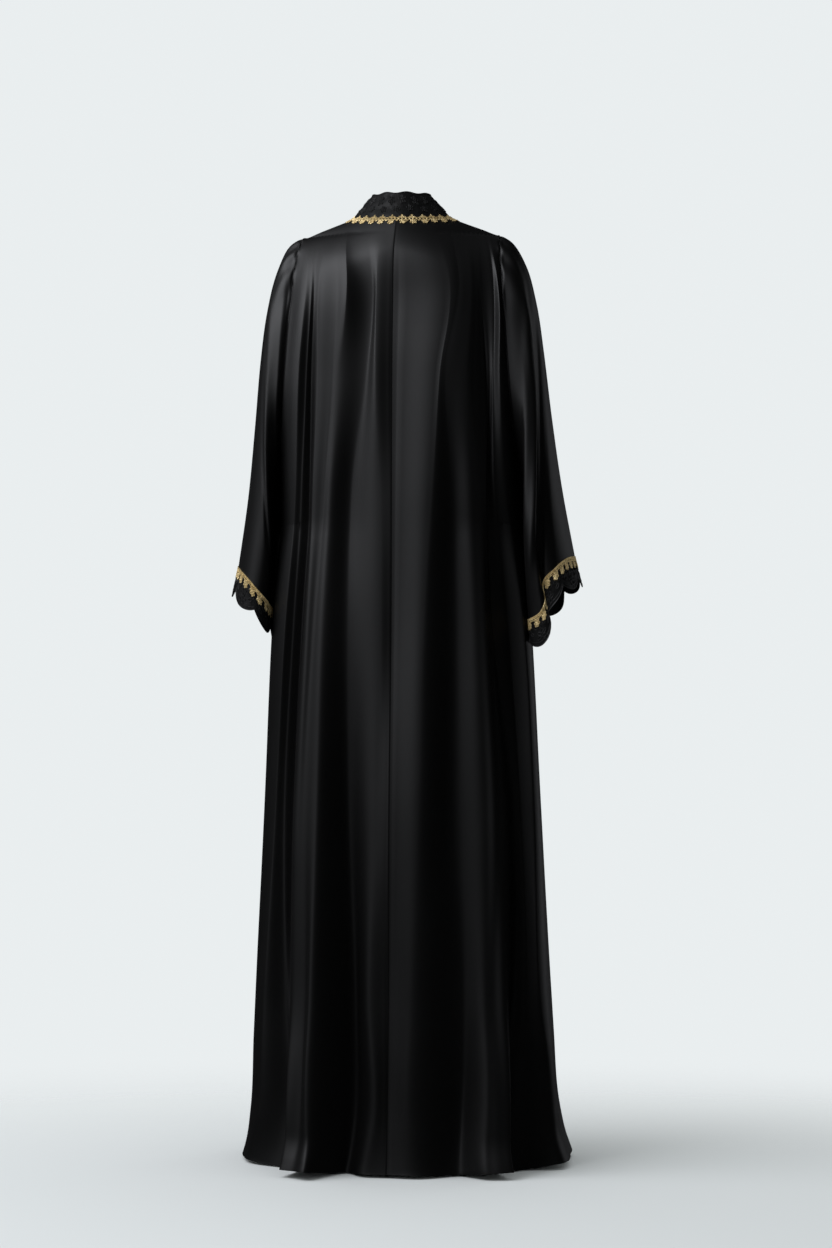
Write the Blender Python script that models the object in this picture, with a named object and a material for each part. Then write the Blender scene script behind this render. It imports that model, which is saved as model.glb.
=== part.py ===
"""A floor-length kaftan in black satin crepe: two back panels, one front panel, two wide
sleeves, a standing lace neckband, scalloped lace cuffs and gold braid trims.
Metres, +Z up. The front faces -Y and the wearer's left is +X.
The origin is the point between the shoulders where the garment is held up."""

import math

import bpy
import numpy as np
from mathutils.bvhtree import BVHTree

# Driving dimensions in metres. Heights are measured from the floor.
SHOULDER_HEIGHT = 1.486
WALL = 0.0016
LACE_WALL = 0.0012
BRAID_WALL = 0.0012
SEAM_GAP = 0.0003
NECK_HALF_WIDTH = 0.082
NECK_CORNER_HEIGHT = 1.489
SHOULDER_SLOPE = 0.36
SHOULDER_ROUND = 0.085
BACK_NECK_DIP = 0.006
V_BOTTOM_HEIGHT = 1.260
HEM_HEIGHT = 0.007
ARMHOLE_TOP = 1.462
ARMHOLE_BOTTOM = 1.000
ARMHOLE_HALF_DEPTH = 0.088
OVAL = 2.0 / 2.2
BODY_OVAL = 2.0 / 2.3

# The body form: half the width and the depth behind and in front, at each height.
BODY_SECTIONS = dict(
    height=(0.0, 0.03, 0.08, 0.20, 0.40, 0.60, 0.84, 1.00, 1.10, 1.22, 1.30, 1.36, 1.42, 1.462, 1.50),
    half_width=(0.259, 0.250, 0.242, 0.2360, 0.227, 0.2175, 0.205, 0.193, 0.187, 0.178, 0.172,
                0.167, 0.162, 0.157, 0.155),
    back=(0.200, 0.193, 0.184, 0.172, 0.158, 0.148, 0.140, 0.135, 0.133, 0.130, 0.126, 0.119,
          0.104, 0.084, 0.070),
    front=(0.184, 0.178, 0.172, 0.162, 0.150, 0.141, 0.133, 0.130, 0.132, 0.131, 0.124, 0.113,
           0.096, 0.078, 0.066),
)

# Where the folds are measured, as heights.
FOLD_HEIGHTS = dict(neck=1.47, yoke=1.388, chest=1.235, waist=1.06, hip=0.854, knee=0.56, shin=0.271,
                    ankle=0.085, hem=0.012)

# Each fold is a row: its place round the panel at each height, as a share of the way from the
# centre (0) to the side (1), and how far it stands out (+) or in (-), in millimetres.
BACK_LEFT_FOLDS = (
    ("centre seam", (0, 0, 0, 0, 0, 0, 0, 0, 0),
     (-2, -10, -10, -9, -11, 3, -7, -9, -12)),
    ("seam ridge", (0.06, 0.074, 0.067, 0.047, 0.035, 0.04, 0.06, 0.04, 0.065),
     (2, -6, -3, -8, -8, -2, -2, -4, -12)),
    ("wide valley", (0.165, 0.107, 0.127, 0.201, 0.194, 0.179, 0.139, 0.137, 0.155),
     (-3, -13, -16, -22, -17, -30, -40, -46, -32)),
    ("blade ridge", (0.314, 0.254, 0.298, 0.321, 0.32, 0.299, 0.283, 0.271, 0.25),
     (3, 5, -7, -2, 7, 18, 31, 38, 46)),
    ("slack", (0.4, 0.342, 0.338, 0.357, 0.368, 0.366, 0.322, 0.311, 0.31),
     (1, -1, -8, -3, 4, 13, 16, 26, 48)),
    ("sharp ridge", (0.455, 0.464, 0.439, 0.42, 0.401, 0.404, 0.387, 0.369, 0.362),
     (3, 3, -5, 3, 9, 16, 15, 32, 38)),
    ("deep valley", (0.58, 0.523, 0.518, 0.482, 0.517, 0.562, 0.521, 0.408, 0.405),
     (-1, 1, -11, -7, -15, -24, -27, -26, -34)),
    ("valley floor", (0.65, 0.555, 0.544, 0.512, 0.546, 0.596, 0.559, 0.518, 0.535),
     (0, 4, -3, 5, -2, -10, -23, -35, -34)),
    ("side ridge", (0.74, 0.618, 0.604, 0.544, 0.573, 0.629, 0.648, 0.703, 0.8),
     (2, 7, 6, 12, 10, 2, 5, 0, -6)),
    ("side", (1, 1, 1, 1, 1, 1, 1, 1, 1),
     (0, 0, 0, 0, 0, -1, -2, -2, -2)),
)
BACK_RIGHT_FOLDS = (
    ("centre seam", (0, 0, 0, 0, 0, 0, 0, 0, 0),
     (-2, -10, -10, -9, -11, 3, -7, -9, -12)),
    ("plateau", (0.2, 0.307, 0.237, 0.179, 0.13, 0.101, 0.078, 0.07, 0.08),
     (3, 1, 4, 7, 5, 14, 9, 2, -5)),
    ("wide valley", (0.314, 0.389, 0.281, 0.3, 0.294, 0.272, 0.298, 0.29, 0.2),
     (-1, -1, 3, -6, -18, -17, -17, -29, -18)),
    ("blade ridge", (0.45, 0.49, 0.419, 0.406, 0.416, 0.426, 0.396, 0.378, 0.306),
     (0, -2, 3, 7, 1, 5, 9, 19, 24)),
    ("slack", (0.49, 0.534, 0.463, 0.458, 0.463, 0.465, 0.433, 0.425, 0.38),
     (0, -4, 1, 8, 4, 11, 11, 26, 46)),
    ("low ridge", (0.536, 0.572, 0.595, 0.499, 0.507, 0.504, 0.47, 0.473, 0.453),
     (-1, -5, -9, 8, -5, 7, 19, 31, 44)),
    ("deep valley", (0.591, 0.609, 0.633, 0.538, 0.544, 0.652, 0.608, 0.515, 0.492),
     (-2, -6, -8, -4, -11, -10, -13, -26, -34)),
    ("valley floor", (0.643, 0.742, 0.666, 0.574, 0.689, 0.692, 0.669, 0.63, 0.645),
     (-1, -3, -4, 5, -11, -3, 0, -17, -28)),
    ("side ridge", (0.706, 0.787, 0.729, 0.657, 0.731, 0.73, 0.709, 0.808, 0.8),
     (2, 8, 6, 12, 13, 17, 18, 17, 28)),
    ("side", (1, 1, 1, 1, 1, 1, 1, 1, 1),
     (0, 0, 0, 0, 0, 0, 2, 5, 9)),
)
FRONT_FOLDS = (
    ("right side", (-1, -1, -1, -1, -1, -1, -1, -1, -1),
     (0, 0, 0, 0, 0, 0, 2, 5, 9)),
    ("right side ridge", (-0.7, -0.68, -0.676, -0.685, -0.7, -0.718, -0.74, -0.76, -0.77),
     (2, 3, 4, 6, 7, 7, 10, 15, 20)),
    ("right valley", (-0.52, -0.51, -0.501, -0.504, -0.52, -0.538, -0.56, -0.58, -0.59),
     (-2, -3, -5, -7, -9, -9, -13, -20, -26)),
    ("right ridge", (-0.314, -0.34, -0.358, -0.359, -0.35, -0.356, -0.37, -0.38, -0.38),
     (2, 4, 6, 6, 7, 6, 10, 18, 26)),
    ("right inner valley", (-0.18, -0.2, -0.203, -0.2, -0.2, -0.192, -0.19, -0.2, -0.21),
     (-1, -3, -5, -7, -8, -8, -10, -14, -18)),
    ("centre", (0, 0, 0, 0, 0, 0, 0, 0, 0),
     (0, 1, 3, 5, 5, 6, 7, 9, 12)),
    ("left inner valley", (0.18, 0.18, 0.171, 0.179, 0.21, 0.235, 0.24, 0.23, 0.22),
     (-1, -3, -6, -8, -9, -9, -10, -14, -19)),
    ("left ridge", (0.314, 0.33, 0.338, 0.347, 0.36, 0.365, 0.37, 0.38, 0.39),
     (2, 4, 6, 6, 7, 7, 10, 17, 24)),
    ("left valley", (0.5, 0.49, 0.481, 0.484, 0.5, 0.518, 0.54, 0.56, 0.57),
     (-2, -3, -5, -7, -8, -9, -13, -20, -27)),
    ("left side ridge", (0.69, 0.67, 0.659, 0.664, 0.68, 0.703, 0.73, 0.75, 0.76),
     (2, 3, 4, 6, 7, 7, 9, 12, 14)),
    ("left side", (1, 1, 1, 1, 1, 1, 1, 1, 1),
     (0, 0, 0, 0, 0, -1, -2, -2, -2)),
)

# Each sleeve is a row of rings from the armhole to the cuff: the outer and inner ends of the
# ring as distance from the centre and height, and how far it reaches back and forward.
LEFT_SLEEVE = dict(
    along=(0.0, 0.06, 0.14, 0.25, 0.40, 0.60, 0.80, 1.0),
    outer_x=(0.157, 0.177, 0.195, 0.209, 0.222, 0.235, 0.247, 0.264),
    outer_z=(1.462, 1.449, 1.415, 1.362, 1.282, 1.166, 1.050, 0.934),
    inner_x=(0.193, 0.1955, 0.197, 0.1985, 0.2003, 0.2025, 0.205, 0.2075),
    inner_z=(1.000, 0.994, 0.985, 0.973, 0.953, 0.925, 0.897, 0.868),
    back=(0.088, 0.090, 0.092, 0.094, 0.096, 0.096, 0.093, 0.088),
    front=(0.088, 0.090, 0.094, 0.099, 0.106, 0.113, 0.118, 0.120),
)
RIGHT_SLEEVE = dict(
    along=(0.0, 0.06, 0.14, 0.25, 0.40, 0.60, 0.80, 1.0),
    outer_x=(0.157, 0.177, 0.197, 0.212, 0.225, 0.239, 0.255, 0.276),
    outer_z=(1.462, 1.449, 1.415, 1.362, 1.282, 1.170, 1.060, 0.948),
    inner_x=(0.193, 0.1946, 0.1957, 0.1975, 0.1998, 0.2025, 0.205, 0.2075),
    inner_z=(1.000, 0.994, 0.985, 0.973, 0.951, 0.921, 0.891, 0.860),
    back=(0.088, 0.090, 0.092, 0.094, 0.096, 0.096, 0.093, 0.088),
    front=(0.088, 0.090, 0.094, 0.099, 0.106, 0.113, 0.118, 0.120),
)

# Folds along a sleeve: place round it in degrees (0 outer, 90 back, 180 inner, 270 front) and
# how far each stands out or in, in millimetres, at the head, the elbow and the cuff.
SLEEVE_PLACES = (0.0, 0.45, 1.0)
LEFT_SLEEVE_FOLDS = (
    ("outer", (0, 0, 0), (0, 0, 0)),
    ("outer swell", (40, 38, 36), (0, 2, 1)),
    ("back groove", (72, 76, 80), (0, -2, 0)),
    ("back drape", (104, 112, 120), (0, 2, 1)),
    ("inner dip", (142, 146, 150), (0, -2, -1)),
    ("inner", (180, 180, 180), (0, 0, 0)),
    ("front dip", (232, 232, 232), (0, -4, -4)),
    ("front drape", (268, 266, 264), (0, 6, 5)),
    ("front groove", (304, 306, 308), (0, -6, -4)),
    ("front swell", (334, 334, 334), (0, 2, 2)),
)
RIGHT_SLEEVE_FOLDS = (
    ("outer", (0, 0, 0), (0, 0, 0)),
    ("outer swell", (12, 15, 55), (0, 2, 4)),
    ("back groove", (24, 35, 91), (0, -5, -8)),
    ("back drape", (48, 52, 112), (0, 5, 5)),
    ("inner dip", (142, 142, 155), (0, -3, -4)),
    ("inner", (180, 180, 180), (0, 0, 0)),
    ("front dip", (230, 230, 230), (0, -4, -5)),
    ("front drape", (266, 264, 264), (0, 6, 7)),
    ("front groove", (302, 304, 306), (0, -6, -6)),
    ("front swell", (334, 334, 334), (0, 2, 3)),
)

# How the cuff edges lie: place round the cuff in degrees, and how far the edge is moved away
# from the body and hangs lower there, in millimetres. The right cuff is folded over itself.
LEFT_CUFF_LINE = dict(place=(0, 360), aside=(0, 0), lower=(0, 0))
RIGHT_CUFF_LINE = dict(
    place=(0, 60, 84, 98, 112, 126, 141, 158, 180, 215, 360),
    aside=(0, 0, 3, 11, 10, 8, 7, 6, 5, 2, 0),
    lower=(0, 0, 4, 18, 27, 27, 19, 10, 4, 0, 0),
)

# Rows round each half of the armhole in degrees from its top, shared by panel and sleeve.
ARMHOLE_ROWS = (0, 12, 21, 29, 37, 46, 57, 70, 84, 98, 112, 126, 141, 158, 180)
GATHER_SIGNS = (0, 1, -1, 1, -1, 1, -1, 0, 0, 0, 0, 0, 0, 0, 0)
GATHER_DEPTH = 0.0030
LOWER_ROWS = 12
SLEEVE_LEAN = 0.014
WIDE_COLUMNS = 3
NARROW_COLUMNS = 2
NECK_COLUMNS = 5
NECK_CORNER_SHARE = 0.314
SLEEVE_ROWS = 15

# Neckband, cuff lace and braid.
BAND_LEAN = 0.58
BAND_RISE = 0.038
BAND_FRONT_RISE = 0.054
LACE_DEPTH = 0.026
SCALLOP_DEPTH = 0.016
SCALLOPS = 10
LACE_FLARE = 0.10
NECK_FLOWERS = 38
NECK_TRIM_STEP = 0.0075
NECK_TRIM_RISE = 0.006
NECK_TRIM_DROP = 0.008
NECK_TRIM_SCALLOP = 0.005
BAND_GAP = 0.0008
TRIM_GAP = 0.0006
TRIM_STEEP_GAP = 0.0018
TRIM_FOLD_GAP = 0.0012
LACE_FOLD_GAP = 0.0009
CUFF_FLOWERS = 28

COLOURS = dict(
    satin=(0.012, 0.012, 0.014, 1.0),
    lace=(0.010, 0.010, 0.012, 1.0),
    gold=(0.62, 0.46, 0.22, 1.0),
)


def curve(places, values, at):
    """A smooth curve through a short table, straight beyond its ends."""
    order = np.argsort(places)
    p = np.asarray(places, float)[order]
    v = np.asarray(values, float)[order]
    at = np.clip(np.asarray(at, float), p[0], p[-1])
    slope = np.diff(v) / np.diff(p)
    tangent = np.empty(len(p))
    tangent[0], tangent[-1] = slope[0], slope[-1]
    span = np.diff(p)
    tangent[1:-1] = (slope[:-1] * span[1:] + slope[1:] * span[:-1]) / (span[1:] + span[:-1])
    k = np.clip(np.searchsorted(p, at, side="right") - 1, 0, len(p) - 2)
    h = span[k]
    f = (at - p[k]) / h
    return (
        (2 * f**3 - 3 * f**2 + 1) * v[k]
        + (f**3 - 2 * f**2 + f) * h * tangent[k]
        + (3 * f**2 - 2 * f**3) * v[k + 1]
        + (f**3 - f**2) * h * tangent[k + 1]
    )


def body_size(column, height):
    return curve(BODY_SECTIONS["height"], BODY_SECTIONS[column], height)


def ease(a, b, value):
    f = np.clip((value - a) / (b - a), 0.0, 1.0)
    return f * f * (3 - 2 * f)


def armhole_shape(q):
    """Half the width of the armhole, from 0 to 1, from its point (-1) to its head (1)."""
    q = np.clip(q, -1.0, 1.0)
    head = np.maximum(0.0, 1 - np.abs(q) ** 2.2) ** (1 / 2.2)
    point = np.maximum(0.0, 1 - np.abs(q) ** 1.7) ** 1.1
    return np.where(q > 0, head, point)


def armhole_depth(height):
    middle = (ARMHOLE_TOP + ARMHOLE_BOTTOM) / 2
    half = (ARMHOLE_TOP - ARMHOLE_BOTTOM) / 2
    return ARMHOLE_HALF_DEPTH * armhole_shape((height - middle) / half)


def body_surface(share, height, back):
    """The smooth body form. back is +1 behind and -1 in front."""
    turn = np.clip(np.abs(share), 0, 1) * math.pi / 2
    half = body_size("half_width", height)
    depth = body_size("back" if back > 0 else "front", height)
    x = half * np.sin(turn) ** BODY_OVAL
    round_side = 1.0 + 1.2 * (1 - ease(0.86, 1.24, height))
    c = np.maximum(np.cos(turn), 0) ** (2.0 / round_side)
    peak = NECK_CORNER_HEIGHT - SHOULDER_SLOPE * (x - NECK_HALF_WIDTH)
    drop = np.clip((peak - height) / SHOULDER_ROUND, 0, 1)
    over = np.sqrt(1 - (1 - drop) ** 2)
    y = armhole_depth(height) * (1 - c) + depth * over * c
    return np.stack([np.sign(share) * x, back * y, height + 0 * x], axis=-1)


def top_height(x, back):
    """The neckline and shoulder line, as a height over each distance from the centre."""
    x = np.abs(x)
    shoulder = NECK_CORNER_HEIGHT - SHOULDER_SLOPE * (x - NECK_HALF_WIDTH)
    q = np.clip(x / NECK_HALF_WIDTH, 0, 1)
    if back > 0:
        neck = NECK_CORNER_HEIGHT - BACK_NECK_DIP * (1 - q**2)
    else:
        rise = NECK_CORNER_HEIGHT - V_BOTTOM_HEIGHT
        neck = V_BOTTOM_HEIGHT + rise * (0.25 * q**2 + 0.75 * q**1.15)
    return np.where(x < NECK_HALF_WIDTH - 1e-6, neck, np.minimum(shoulder, NECK_CORNER_HEIGHT))


def hem_height(depth):
    """The hem dips a little where a fold stands out."""
    return float(np.clip(0.007 - 0.12 * depth, 0.001, 0.012))


def row_shares():
    """How far down a panel each row lies: round the armhole first, then on to the hem."""
    middle = (ARMHOLE_TOP + ARMHOLE_BOTTOM) / 2
    half = (ARMHOLE_TOP - ARMHOLE_BOTTOM) / 2
    c = np.cos(np.radians(ARMHOLE_ROWS))
    upper = middle + half * np.sign(c) * np.abs(c) ** OVAL
    f = np.arange(1, LOWER_ROWS + 1) / LOWER_ROWS
    low = HEM_HEIGHT
    lower = ARMHOLE_BOTTOM + (low - ARMHOLE_BOTTOM) * (1 - (1 - f) ** 1.35)
    rows = np.concatenate([upper, lower])
    return (ARMHOLE_TOP - rows) / (ARMHOLE_TOP - low)


def reaches_neck_corner(folds, k):
    """+1 or -1 where the next fold, or this one, starts at the neck corner; 0 elsewhere."""
    a, b = folds[k][1][0], folds[k + 1][1][0]
    if b == NECK_CORNER_SHARE and a < b:
        return 1
    return -1 if a == -NECK_CORNER_SHARE and b > a else 0


def fold_columns(folds):
    """Fold numbers and fractions of the columns: each fold line is a column."""
    for k in range(len(folds) - 1):
        narrow = abs(folds[k + 1][1][-1] - folds[k][1][-1]) < 0.075
        columns = NARROW_COLUMNS if narrow else WIDE_COLUMNS
        if len(folds) == len(FRONT_FOLDS) and reaches_neck_corner(folds, k):
            columns = NECK_COLUMNS
        for i in range(columns):
            yield k, i / columns
    yield len(folds) - 2, 1.0


def fold_values(folds, k, f, height):
    """Share and outward depth of one column at given heights."""
    places = tuple(FOLD_HEIGHTS.values())
    a = curve(places, folds[k][1], height)
    b = curve(places, folds[k + 1][1], height)
    da = curve(places, folds[k][2], height)
    db = curve(places, folds[k + 1][2], height)
    blend = 0.5 - 0.5 * math.cos(math.pi * f)
    high = ease(0.90, 1.20, height)
    if k == 0 and abs(folds[0][1][0]) == 1:
        f = f + (f**0.55 - f) * high
    if k == len(folds) - 2:
        f = f + (1 - (1 - f) ** 0.55 - f) * high
    neck = ease(1.22, 1.44, height)
    if reaches_neck_corner(folds, k) > 0:
        f = f + (1 - (1 - f) ** 1.9 - f) * neck
    if reaches_neck_corner(folds, k) < 0:
        f = f + (f**1.9 - f) * neck
    share = a + (b - a) * f
    return share, (da + (db - da) * blend) / 1000.0


def grid_normals(points, closed):
    """Unit normals of a grid of points, the way its columns turn towards its rows."""
    if closed:
        du = np.roll(points, -1, 0) - np.roll(points, 1, 0)
    else:
        du = np.gradient(points, axis=0)
    dv = np.gradient(points, axis=1)
    n = np.cross(du, dv)
    return n / np.linalg.norm(n, axis=-1, keepdims=True)


def unit(v):
    return v / np.linalg.norm(v, axis=-1, keepdims=True)


def panel(folds, back, sign):
    """One body panel as grids of outer points and their outward normals."""
    down = row_shares()
    shares, heights, depths = [], [], []
    for k, f in fold_columns(folds):
        height = np.full(len(down), ARMHOLE_TOP)
        low = hem_height(fold_values(folds, k, f, np.array([HEM_HEIGHT]))[1][0])
        for _ in range(30):
            share, _d = fold_values(folds, k, f, height)
            half = body_size("half_width", height[0])
            x_top = half * math.sin(min(abs(share[0]), 1) * math.pi / 2) ** BODY_OVAL
            top = float(top_height(x_top, back))
            height = 0.5 * height + 0.5 * (top + (low - top) * down)
        share, depth = fold_values(folds, k, f, height)
        shares.append(share * sign)
        heights.append(height)
        depths.append(depth * ease(0.0, 0.09, height[0] - height))
    share, height, depth = np.array(shares), np.array(heights), np.array(depths)
    points = body_surface(share, height, back)
    flip = back * (1 if points[-1, 5, 0] > points[0, 5, 0] else -1)
    normals = grid_normals(points, False) * flip
    # Small gathers run in from the armhole seam and fade out.
    armhole = len(ARMHOLE_ROWS)
    from_edge = 1 - np.abs(share[:, :armhole])
    near = ease(0.0, 0.10, from_edge) * np.exp(-((from_edge / 0.22) ** 2))
    depth[:, :armhole] += GATHER_DEPTH * near * np.array(GATHER_SIGNS)
    points = points + normals * depth[..., None]
    return points, flip, share


def settle_seams(points, flip, share, back):
    """Straighten the normals at each seam and draw its edge back by half the gap."""
    normals = grid_normals(points, False) * flip
    below = slice(len(ARMHOLE_ROWS) - 1, None)
    for edge in (0, -1):
        if abs(share[edge, -1]) > 0.99:
            normals[edge, below, 1] = 0
            points[edge, below, 1] = back * SEAM_GAP / 2
            points[edge, : len(ARMHOLE_ROWS), 1] += back * SEAM_GAP / 2
        elif abs(share[edge, -1]) < 1e-6:
            normals[edge, :, 0] = 0
            inward = np.sign(points[-1, -1, 0] if edge == 0 else points[0, -1, 0])
            points[edge, :, 0] = inward * SEAM_GAP / 2
    rim = normals[:, : len(ARMHOLE_ROWS) - 1][np.abs(share[:, -1]) > 0.99]
    outward = np.sign(points[np.abs(share[:, -1]) > 0.99, 4, 0])[:, None]
    rim[..., 0] = np.maximum(rim[..., 0] * outward, 0.1) * outward
    normals[np.abs(share[:, -1]) > 0.99, : len(ARMHOLE_ROWS) - 1] = rim
    top = np.abs(points[:, 0, 0]) > NECK_HALF_WIDTH - 1e-4
    normals[top, 0, 1] = 0
    points[top, 0, 1] = back * SEAM_GAP / 2
    return points, unit(normals)


def along_ring(degrees):
    """Place between the head (1) and the point (-1) of a ring, and the side it is on."""
    c = np.cos(np.radians(degrees))
    return np.sign(c) * np.abs(c) ** OVAL, np.where(np.asarray(degrees) <= 180, 1.0, -1.0)


def sleeve_angles():
    rows = np.array(ARMHOLE_ROWS, float)
    return np.concatenate([rows[:-1], 360 - rows[:0:-1]])


def sleeve(rings, folds, line, sign):
    """One sleeve as a closed grid: columns round it, rows from armhole to cuff."""
    angle = sleeve_angles()
    t = np.linspace(0, 1, SLEEVE_ROWS + 1) ** 1.1
    c, half_turn = along_ring(angle)
    c, half_turn = c[:, None], half_turn[:, None]
    size = {name: curve(rings["along"], rings[name], t)[None, :] for name in rings}
    x = (size["outer_x"] + size["inner_x"]) / 2 + (size["outer_x"] - size["inner_x"]) / 2 * c
    z = (size["outer_z"] + size["inner_z"]) / 2 + (size["outer_z"] - size["inner_z"]) / 2 * c
    pointed = armhole_shape(c)
    rounded = np.maximum(0.0, 1 - np.abs(c) ** 2.2) ** (1 / 2.2)
    width = pointed + (rounded - pointed) * ease(0.3, 0.9, t)[None, :]
    y = half_turn * width * np.where(half_turn > 0, size["back"], size["front"])
    x = x - SLEEVE_LEAN * width * ease(0.1, 0.7, t)[None, :]
    aside = curve(line["place"], line["aside"], angle) / 1000
    lower = curve(line["place"], line["lower"], angle) / 1000
    x = x + aside[:, None] * ease(0.65, 1.0, t)[None, :]
    z = z - lower[:, None] * ease(0.55, 1.0, t)[None, :]
    edge = body_size("half_width", z[:, :1]) + SEAM_GAP
    x = x + (edge - x[:, :1]) * (1 - t[None, :]) ** 4
    points = np.stack([sign * x, y, z], axis=-1)
    turned = grid_normals(points, True)
    flip = 1 if turned[0, SLEEVE_ROWS // 2, 0] * sign > 0 else -1
    turned = turned * flip
    places = [fold[1] for fold in folds] + [tuple(a + 360 for a in folds[0][1])]
    depths = [fold[2] for fold in folds] + [folds[0][2]]
    where = np.array([curve(SLEEVE_PLACES, p, t) for p in places])
    height = np.array([curve(SLEEVE_PLACES, d, t) for d in depths]) / 1000.0
    out = np.zeros(points.shape[:2])
    for j in range(len(t)):
        k = np.clip(np.searchsorted(where[:, j], angle, side="right") - 1, 0, len(places) - 2)
        f = (angle - where[k, j]) / (where[k + 1, j] - where[k, j])
        blend = 0.5 - 0.5 * np.cos(np.pi * f)
        out[:, j] = height[k, j] + (height[k + 1, j] - height[k, j]) * blend
    out *= ease(0.0, 0.25, t)[None, :]
    signs = np.array(GATHER_SIGNS[:-1] + GATHER_SIGNS[:0:-1], float)
    fade = ease(0.0, 0.03, t) * np.exp(-((t / 0.16) ** 2))
    out += GATHER_DEPTH * signs[:, None] * fade[None, :]
    points = points + turned * out[..., None]
    normals = grid_normals(points, True) * flip
    normals[:, 0, 0] = 0
    normals = unit(normals)
    ring = points[:, -1] - points[:, -1].mean(0)
    facing = unit(np.cross(ring, np.roll(ring, -1, 0)).sum(0))
    flat = unit(normals[:, -1] - (normals[:, -1] @ facing)[:, None] * facing)
    stretch = np.maximum(np.sum(flat * normals[:, -1], axis=1, keepdims=True), 0.75)
    normals[:, -1] = flat / stretch
    return points, normals


def refine(grid, times):
    """Cut each step round a closed grid into equal shorter steps."""
    following = np.roll(grid, -1, 0)
    steps = [grid + (following - grid) * (i / times) for i in range(times)]
    return np.stack(steps, axis=1).reshape(-1, *grid.shape[1:])


def distance_round(ring):
    step = np.linalg.norm(np.roll(ring, -1, 0) - ring, axis=-1)
    return np.concatenate([[0], np.cumsum(step)[:-1]]), step.sum()


def evened(grid, times):
    """Even out a closed ring of values."""
    for _ in range(times):
        grid = (np.roll(grid, 1, 0) + 2 * grid + np.roll(grid, -1, 0)) / 4
    return grid


def cuff_frame(points, normals):
    """The sleeve's last row, the way it runs on and the way out, in finer steps."""
    ring = refine(points[:, -1], 2)
    onward = refine(unit(evened(unit(points[:, -1] - points[:, -2]), 8)), 2)
    outward = refine(normals[:, -1], 2)
    return ring, unit(onward + LACE_FLARE * outward), outward


def scallop(ring, count):
    along, total = distance_round(ring)
    f = (along / total * count) % 1.0
    return 1 - (2 * f - 1) ** 2


def steepness(ring):
    """0 where the cuff's edge is level and 1 where a fold tilts it, with its neighbours."""
    rise = np.abs(unit(np.roll(ring, -1, 0) - ring)[:, 2])
    rise = np.maximum(rise, np.roll(rise, 1))
    return ease(0.5, 0.8, np.maximum(rise, np.maximum(np.roll(rise, 1), np.roll(rise, -1))))


def cuff_lace(points, normals):
    ring, onward, outward = cuff_frame(points, normals)
    ring = ring + onward * LACE_FOLD_GAP * steepness(ring)[:, None]
    depth = LACE_DEPTH + SCALLOP_DEPTH * scallop(ring, SCALLOPS)
    rows = [ring + onward * (SEAM_GAP + depth[:, None] * f) for f in (0.0, 0.5, 1.0)]
    return np.stack(rows, axis=1), np.repeat(outward[:, None], 3, axis=1)


def cuff_trim(points, normals, count):
    ring, onward, outward = cuff_frame(points, normals)
    back = refine(unit(points[:, -2] - points[:, -1]), 2)
    drop = 0.010 + 0.004 * scallop(ring, count)
    gap = SEAM_GAP + TRIM_FOLD_GAP * steepness(ring)
    lift = outward * (gap + BRAID_WALL)[:, None]
    rows = [ring + back * 0.005 + lift, ring + lift, ring + onward * drop[:, None] + lift]
    return np.stack(rows, axis=1), np.repeat(outward[:, None], 3, axis=1)


def solid(name, points, normals, wall, closed, colour, rough):
    """A cloth wall: the outer grid, the same grid moved in by the wall, and its edges."""
    points = points - np.array([0, 0, SHOULDER_HEIGHT])
    nu, nv = points.shape[:2]
    outer = points.reshape(-1, 3)
    inner = (points - normals * wall).reshape(-1, 3)
    n = len(outer)
    faces = []
    spans = nu if closed else nu - 1
    for i in range(spans):
        k = (i + 1) % nu
        for j in range(nv - 1):
            a, b, c, d = i * nv + j, k * nv + j, k * nv + j + 1, i * nv + j + 1
            faces += [(a, b, c), (a, c, d), (n + a, n + c, n + b), (n + a, n + d, n + c)]
    for i in range(spans):
        k = (i + 1) % nu
        for j, order in ((0, 1), (nv - 1, -1)):
            a, b = i * nv + j, k * nv + j
            quad = (a, n + a, n + b, b) if order > 0 else (b, n + b, n + a, a)
            faces += [quad[:3], (quad[0], quad[2], quad[3])]
    if not closed:
        for i, order in ((0, -1), (nu - 1, 1)):
            for j in range(nv - 1):
                a, b = i * nv + j, i * nv + j + 1
                quad = (a, n + a, n + b, b) if order > 0 else (b, n + b, n + a, a)
                faces += [quad[:3], (quad[0], quad[2], quad[3])]
    a, b, c = (outer[faces[0][q]] for q in range(3))
    if np.dot(np.cross(b - a, c - a), normals.reshape(-1, 3)[0]) < 0:
        faces = [f[::-1] for f in faces]
    mesh = bpy.data.meshes.new(name)
    mesh.from_pydata(np.vstack([outer, inner]).tolist(), [], faces)
    mesh.validate()
    mesh.shade_smooth()
    mesh.set_sharp_from_angle(angle=math.radians(50))
    material = bpy.data.materials.new(name + "_cloth")
    material.use_nodes = True
    shader = material.node_tree.nodes["Principled BSDF"]
    shader.inputs["Base Color"].default_value = COLOURS[colour]
    shader.inputs["Roughness"].default_value = rough
    shader.inputs["Metallic"].default_value = 0.8 if colour == "gold" else 0.0
    mesh.materials.append(material)
    piece = bpy.data.objects.new(name, mesh)
    bpy.context.scene.collection.objects.link(piece)
    return piece


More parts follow.
